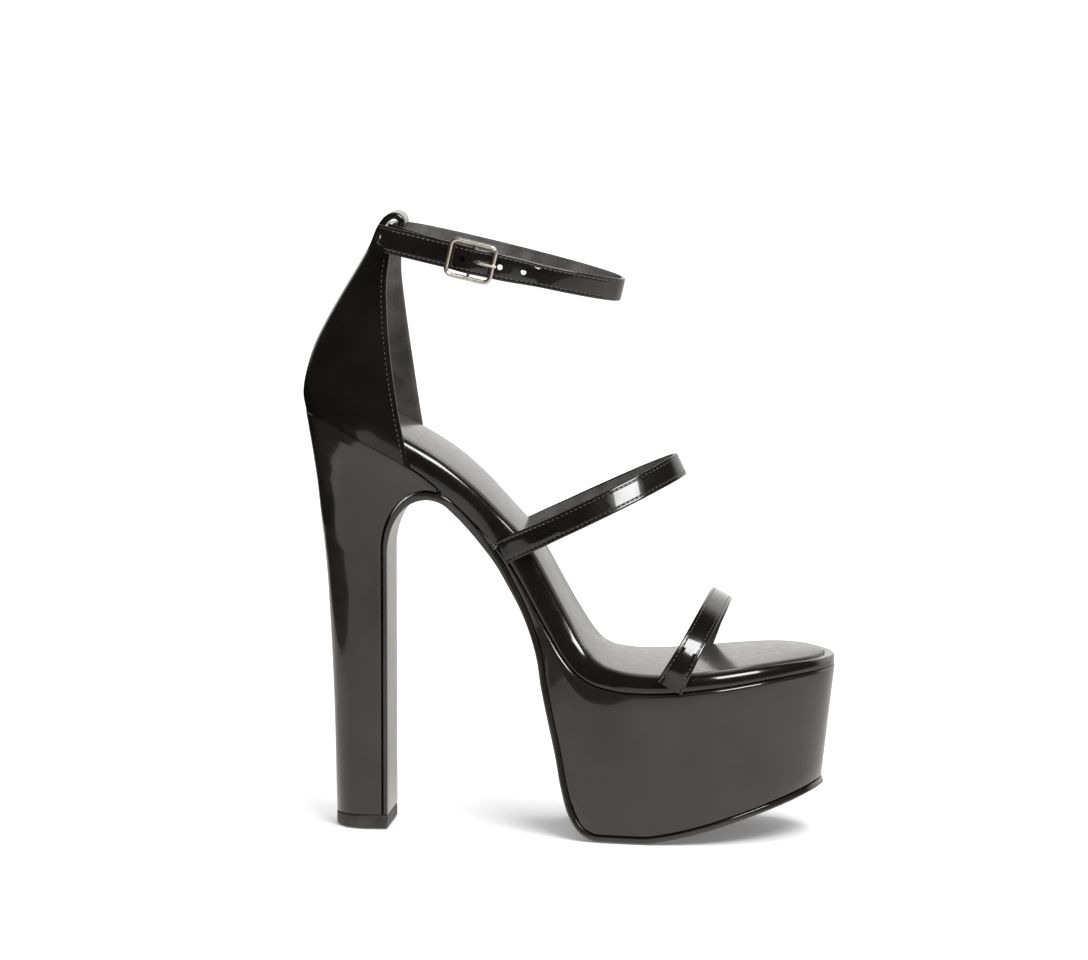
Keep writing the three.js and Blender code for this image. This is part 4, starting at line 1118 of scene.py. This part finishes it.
def block_cutter(run, up, depth):
    corners = [buckle_place(r, u, d) for r in run for u in up for d in depth]
    faces = [(0, 1, 3, 2), (4, 6, 7, 5), (0, 4, 5, 1), (2, 3, 7, 6), (0, 2, 6, 4), (1, 5, 7, 3)]
    return cutter(corners, faces)


def hole_cutter(run, depth):
    radius = STRAP_HOLE / 2
    points = [
        buckle_place(run + radius * cos, radius * sin, depth + end * 1.3 * STRAP_THICKNESS)
        for end in (-1, 1)
        for cos, sin in circle(360 * k / HOLE_SIDES for k in range(HOLE_SIDES))
    ]
    faces = ring_faces(2, HOLE_SIDES, False)[:HOLE_SIDES]
    faces += [tuple(range(HOLE_SIDES - 1, -1, -1)), tuple(range(HOLE_SIDES, 2 * HOLE_SIDES))]
    return cutter(points, faces)


def cut_away(obj, cutters):
    for tool in cutters:
        modifier = obj.modifiers.new("cut", "BOOLEAN")
        modifier.operation = "DIFFERENCE"
        modifier.solver = "EXACT"
        modifier.object = tool
    bpy.context.view_layer.update()
    shown = obj.evaluated_get(bpy.context.evaluated_depsgraph_get())
    mesh = bpy.data.meshes.new_from_object(shown)
    obj.modifiers.clear()
    old = obj.data
    obj.data = mesh
    bpy.data.meshes.remove(old)
    for tool in cutters:
        data = tool.data
        bpy.data.objects.remove(tool)
        bpy.data.meshes.remove(data)
    obj.data.shade_smooth()
    obj.data.set_sharp_from_angle(angle=math.radians(60))


PRONG_HALF = BAR_WIRE / 2
SLOT_HALF = PRONG_HALF + GAP
PRONG_TURN = BAR_WIRE / 2 + 0.2 + PRONG_HALF
PRONG_SLOT = (0.9, 3.6)
HOLE_RUNS = (-3.2, 11, 19.8)


def strap_cutters():
    cutters = [block_cutter(
        PRONG_SLOT, (-SLOT_HALF, SLOT_HALF),
        (FOLD_DEPTH + FOLD_THICKNESS / 2 + GAP / 3, OVER_BAR + 2 * STRAP_THICKNESS),
    )]
    for run in HOLE_RUNS:
        free = (loop_side((BAR_RUN + run) / LOOP_LENGTH) - 1) * LOOP_HALF
        depth = OVER_BAR if run < 0 else max(free, UNDER_FRAME * (2 - run / FRAME_RUN))
        cutters.append(hole_cutter(run, depth + 0.1 * STRAP_THICKNESS))
    return cutters


# Buckle: round wire swept along places
def wire(name, places, ways, radius, sides, reference, joined=False):
    turns = circle((k + 0.5) * 360 / sides for k in range(sides))
    rings = []
    for place, way in zip(places, ways):
        first = unit(reference - way * np.dot(reference, way))
        second = np.cross(way, first)
        rings.append([place + first * radius * cos + second * radius * sin for cos, sin in turns])
    return solid_from_rings(name, rings, [METAL], joined=joined, sharp=80)


def rod(name, points, steps, radius, reference):
    route = Route(points)
    lengths = np.linspace(0, route.length, steps)
    return wire(
        name, [route.at(v) for v in lengths], [route.tangent(v) for v in lengths], radius, 20, reference,
    )


def buckle_frame():
    places = []
    for run, up, start in ((1, 1, 0), (-1, 1, 90), (-1, -1, 180), (1, -1, 270)):
        for cos, sin in circle(range(start, start + 91, 6)):
            places.append(buckle_place(
                run * (FRAME_RUN - BUCKLE_CORNER) + BUCKLE_CORNER * cos,
                up * (BUCKLE_HEIGHT / 2 - BUCKLE_CORNER) + BUCKLE_CORNER * sin,
                FRAME_DEPTH,
            ))
    count = len(places)
    ways = [unit(places[(i + 1) % count] - places[i - 1]) for i in range(count)]
    return wire("buckle_frame", places, ways, BUCKLE_WIRE / 2, 24, np.array([0, 1.0, 0]), True)


def buckle_bar():
    """The middle bar, which dips behind the strap between the frame's long sides."""
    drop = (ANKLE_WIDTH + BUCKLE_WIDEN) / 2 + 0.75
    side = [
        (BUCKLE_HEIGHT / 2, FRAME_DEPTH), (drop + 0.5, 0.5 * (FRAME_DEPTH + BAR_DEPTH)),
        (drop, BAR_DEPTH + 0.15), (drop - 1, BAR_DEPTH),
    ]
    points = [buckle_place(0, -up, depth) for up, depth in side]
    points += [buckle_place(0, up, depth) for up, depth in [(0, BAR_DEPTH)] + side[::-1]]
    return rod("buckle_bar", points, 60, BAR_WIRE / 2, LOOP_DOWN)


def buckle_prong():
    rest = FRAME_DEPTH + BUCKLE_WIRE / 2 + GAP + PRONG_HALF
    points = [
        buckle_place(-PRONG_TURN * cos, 0, BAR_DEPTH + PRONG_TURN * sin)
        for cos, sin in circle((-60, -10, 40, 90))
    ]
    for run, depth in (
        (0.16, 0.55 * FOLD_DEPTH + 0.45 * rest), (0.38, rest - 0.2), (0.6, rest), (1, rest), (1.16, rest - 0.1),
    ):
        points.append(buckle_place(run * FRAME_RUN, 0, depth))
    return rod("buckle_prong", points, 90, PRONG_HALF, LOOP_UP)


piece(outsole(), "outsole")
piece(platform(), "platform")
piece(insole(), "insole")
piece(sock(), "sock")
piece(heel(), "heel")
piece(top_piece(), "top_piece")
piece(heel_cup(), "heel_cup")
trim(tab())

instep_stations = foot_strap(
    INSTEP_TABLE, foot_along=0.386, slope=25.7, lean=18, reach=INSTEP_REACH,
    width=INSTEP_WIDTH, flare=0.8, shift=0, ends=0,
)
toe_stations = foot_strap(
    TOE_STRAP_TABLE, foot_along=0.709, slope=61.7, lean=4, reach=TOE_STRAP_REACH,
    width=TOE_STRAP_WIDTH, flare=2, shift=2.5, ends=28,
)
piece(band("instep_strap", instep_stations), "instep_strap")
piece(band("toe_strap", toe_stations), "toe_strap")
ankle, ankle_stations = ankle_strap()
cut_away(ankle, strap_cutters())
piece(ankle, "ankle_strap")
piece(buckle_frame(), "buckle_frame")
trim(buckle_bar())
piece(buckle_prong(), "buckle_prong")

trim(stitches("instep_strap_stitches", strap_lines(instep_stations)))
trim(stitches("toe_strap_stitches", strap_lines(toe_stations)))
trim(stitches("ankle_strap_stitches", strap_lines(ankle_stations, 24, 2)))


CUP_LINE_STEPS = 70
CUP_LINE_IN = 2.3


def cup_lines():
    """Seams along both front edges of the heel cup, outside and inside."""
    lines = []
    for sign in (-1, 1):
        for inward, face in ((0, 1), (CUP_WALL, -1)):
            line = []
            for k in range(CUP_LINE_STEPS):
                up = 0.03 + 0.93 * k / (CUP_LINE_STEPS - 1)
                edge = cup_place(sign, up, inward)
                back = unit(cup_place(sign * 0.9, up, inward) - edge)
                out = unit(np.cross(cup_place(sign, up + 0.01, inward) - edge, back)) * sign
                out = out if out[1] * sign * face > 0 else -out
                line.append((edge + back * CUP_LINE_IN - out * 0.06, out))
            lines.append(line)
    return lines


trim(stitches("heel_cup_stitches", cup_lines()))


# Studio: a pale floor, a white surround behind it, and softboxes. Polished sides mirror a
# bright sheet that ends in front of the shoe and on its left, with the dark room beyond
SHEET_LEFT = -0.44
SHEET_FRONT = -0.86
ROOM = (0.012, 0.011, 0.0105, 1)
SHEET = (1, 0.95, 0.9, 1)
BACKDROP = (1, 0.99, 0.98, 1)
WHITE = (1, 1, 1, 1)
BACK_EDGE = 0.72
BACK_SOFT = 0.14
BACK_SKEW = 0.35
EVEN_LIGHT = 0.72
FLOOR_FAR = 30000


def step_node(tree, source, edge, soft, low=0.0, high=1.0):
    span = new_node(tree, "MapRange", From_Min=edge - soft, From_Max=edge + soft, To_Min=low, To_Max=high)
    span.interpolation_type = "SMOOTHSTEP"
    tree.links.new(source, span.inputs["Value"])
    return span.outputs["Result"]


def product(tree, first, second):
    node = new_node(tree, "Math")
    node.operation = "MULTIPLY"
    tree.links.new(first, node.inputs[0])
    tree.links.new(second, node.inputs[1])
    return node.outputs["Value"]


def split_place(tree, space):
    """The x and y of a place, for a shader to read."""
    place = new_node(tree, "TexCoord")
    parts = new_node(tree, "SeparateXYZ")
    tree.links.new(place.outputs[space], parts.inputs["Vector"])
    return parts.outputs["X"], parts.outputs["Y"]


def by_ray(tree, ray, others, shown):
    """One shader for this kind of ray, and another for the others."""
    path = new_node(tree, "LightPath")
    mix = new_node(tree, "MixShader")
    tree.links.new(path.outputs[ray], mix.inputs["Fac"])
    tree.links.new(others, mix.inputs[1])
    tree.links.new(shown, mix.inputs[2])
    return mix.outputs["Shader"]


def floor():
    material, tree, shader = node_material(
        "studio_floor", (0.86, 0.86, 0.86), 0.7, Specular_IOR_Level=0.2, Emission_Color=WHITE,
    )
    x, y = split_place(tree, "Object")
    tree.links.new(step_node(tree, y, 0.75, 0.55, 0.12, 0.5), shader.inputs["Emission Strength"])
    lit = product(tree, step_node(tree, x, SHEET_LEFT, 0.012), step_node(tree, y, SHEET_FRONT, 0.02))
    near = step_node(tree, y, -0.5, 0.35, 0.68, 0.92)
    right = step_node(tree, x, 0, 0.25, 0.82, 1.02)
    behind = step_node(tree, y, 0.05, 0.1, 1.0, 0.72)
    sheet = new_node(tree, "Emission", Color=SHEET)
    strength = product(tree, product(tree, lit, near), product(tree, right, behind))
    tree.links.new(strength, sheet.inputs["Strength"])
    seen = by_ray(tree, "Is Glossy Ray", shader.outputs["BSDF"], sheet.outputs["Emission"])
    tree.links.new(seen, tree.nodes["Material Output"].inputs["Surface"])
    corners = [(x * FLOOR_FAR, y * FLOOR_FAR, 0) for x, y in ((-1, -1), (1, -1), (1, 1), (-1, 1))]
    obj = mesh_object("studio_floor", corners, [(0, 1, 2, 3)], [material])
    obj.location.z = -0.0004


def surround():
    """White behind, dark on the near side and on the left, white to the camera itself."""
    world = bpy.data.worlds.new("studio")
    bpy.context.scene.world = world
    world.use_nodes = True
    tree = world.node_tree
    tree.nodes.clear()
    x, y = split_place(tree, "Generated")
    skew = new_node(tree, "Math")
    skew.operation = "MULTIPLY_ADD"
    skew.inputs[1].default_value = BACK_SKEW
    tree.links.new(x, skew.inputs[0])
    tree.links.new(y, skew.inputs[2])
    mirrored = tree.nodes.new("ShaderNodeMix")
    mirrored.data_type = "RGBA"
    fill(mirrored, A=ROOM, B=BACKDROP)
    lit = step_node(tree, skew.outputs["Value"], BACK_EDGE, BACK_SOFT)
    tree.links.new(lit, mirrored.inputs["Factor"])
    light = new_node(tree, "Background")
    tree.links.new(mirrored.outputs["Result"], light.inputs["Color"])
    even = new_node(tree, "Background", Color=WHITE, Strength=EVEN_LIGHT)
    seen = new_node(tree, "Background", Color=WHITE)
    soft = by_ray(tree, "Is Glossy Ray", even.outputs["Background"], light.outputs["Background"])
    out = new_node(tree, "OutputWorld")
    tree.links.new(by_ray(tree, "Is Camera Ray", soft, seen.outputs["Background"]), out.inputs["Surface"])


def away(turn, rise, far):
    """Far from the origin on the near side, turned to the right and raised by degrees."""
    turn, rise = math.radians(turn), math.radians(rise)
    way = Vector((math.sin(turn) * math.cos(rise), -math.cos(turn) * math.cos(rise), math.sin(rise)))
    return far * way


def put_and_aim(obj, place, target):
    obj.location = place
    obj.rotation_euler = (Vector(target) - Vector(place)).to_track_quat("-Z", "Y").to_euler()
    bpy.context.scene.collection.objects.link(obj)


def softbox(name, place, target, width, height, power, mirrored):
    data = bpy.data.lights.new(name, "AREA")
    data.shape = "RECTANGLE"
    data.size = width
    data.size_y = height
    data.energy = power
    obj = bpy.data.objects.new(name, data)
    obj.visible_glossy = mirrored
    put_and_aim(obj, place, target)


floor()
surround()
softbox("softbox_top", (0.25, -0.1, 1.7), (0, 0, 0), 1.4, 1.0, 20, mirrored=False)
front = away(turn=33, rise=43, far=1.3) + Vector((0, 0, 0.1))
softbox("softbox_front", front, (0, 0, 0.1), 0.62, 0.5, 14, mirrored=True)

# Camera: the photograph's angle
TARGET = Vector((-0.0093, 0, 0.131812))
camera_data = bpy.data.cameras.new("camera")
camera_data.sensor_width = 36
camera_data.sensor_fit = "HORIZONTAL"
camera_data.lens = 210.77
camera_data.clip_end = 100
camera = bpy.data.objects.new("camera", camera_data)
put_and_aim(camera, TARGET + away(turn=6.2, rise=7.27, far=2.4), TARGET)
bpy.context.scene.camera = camera
bpy.context.scene.view_settings.view_transform = "Standard"
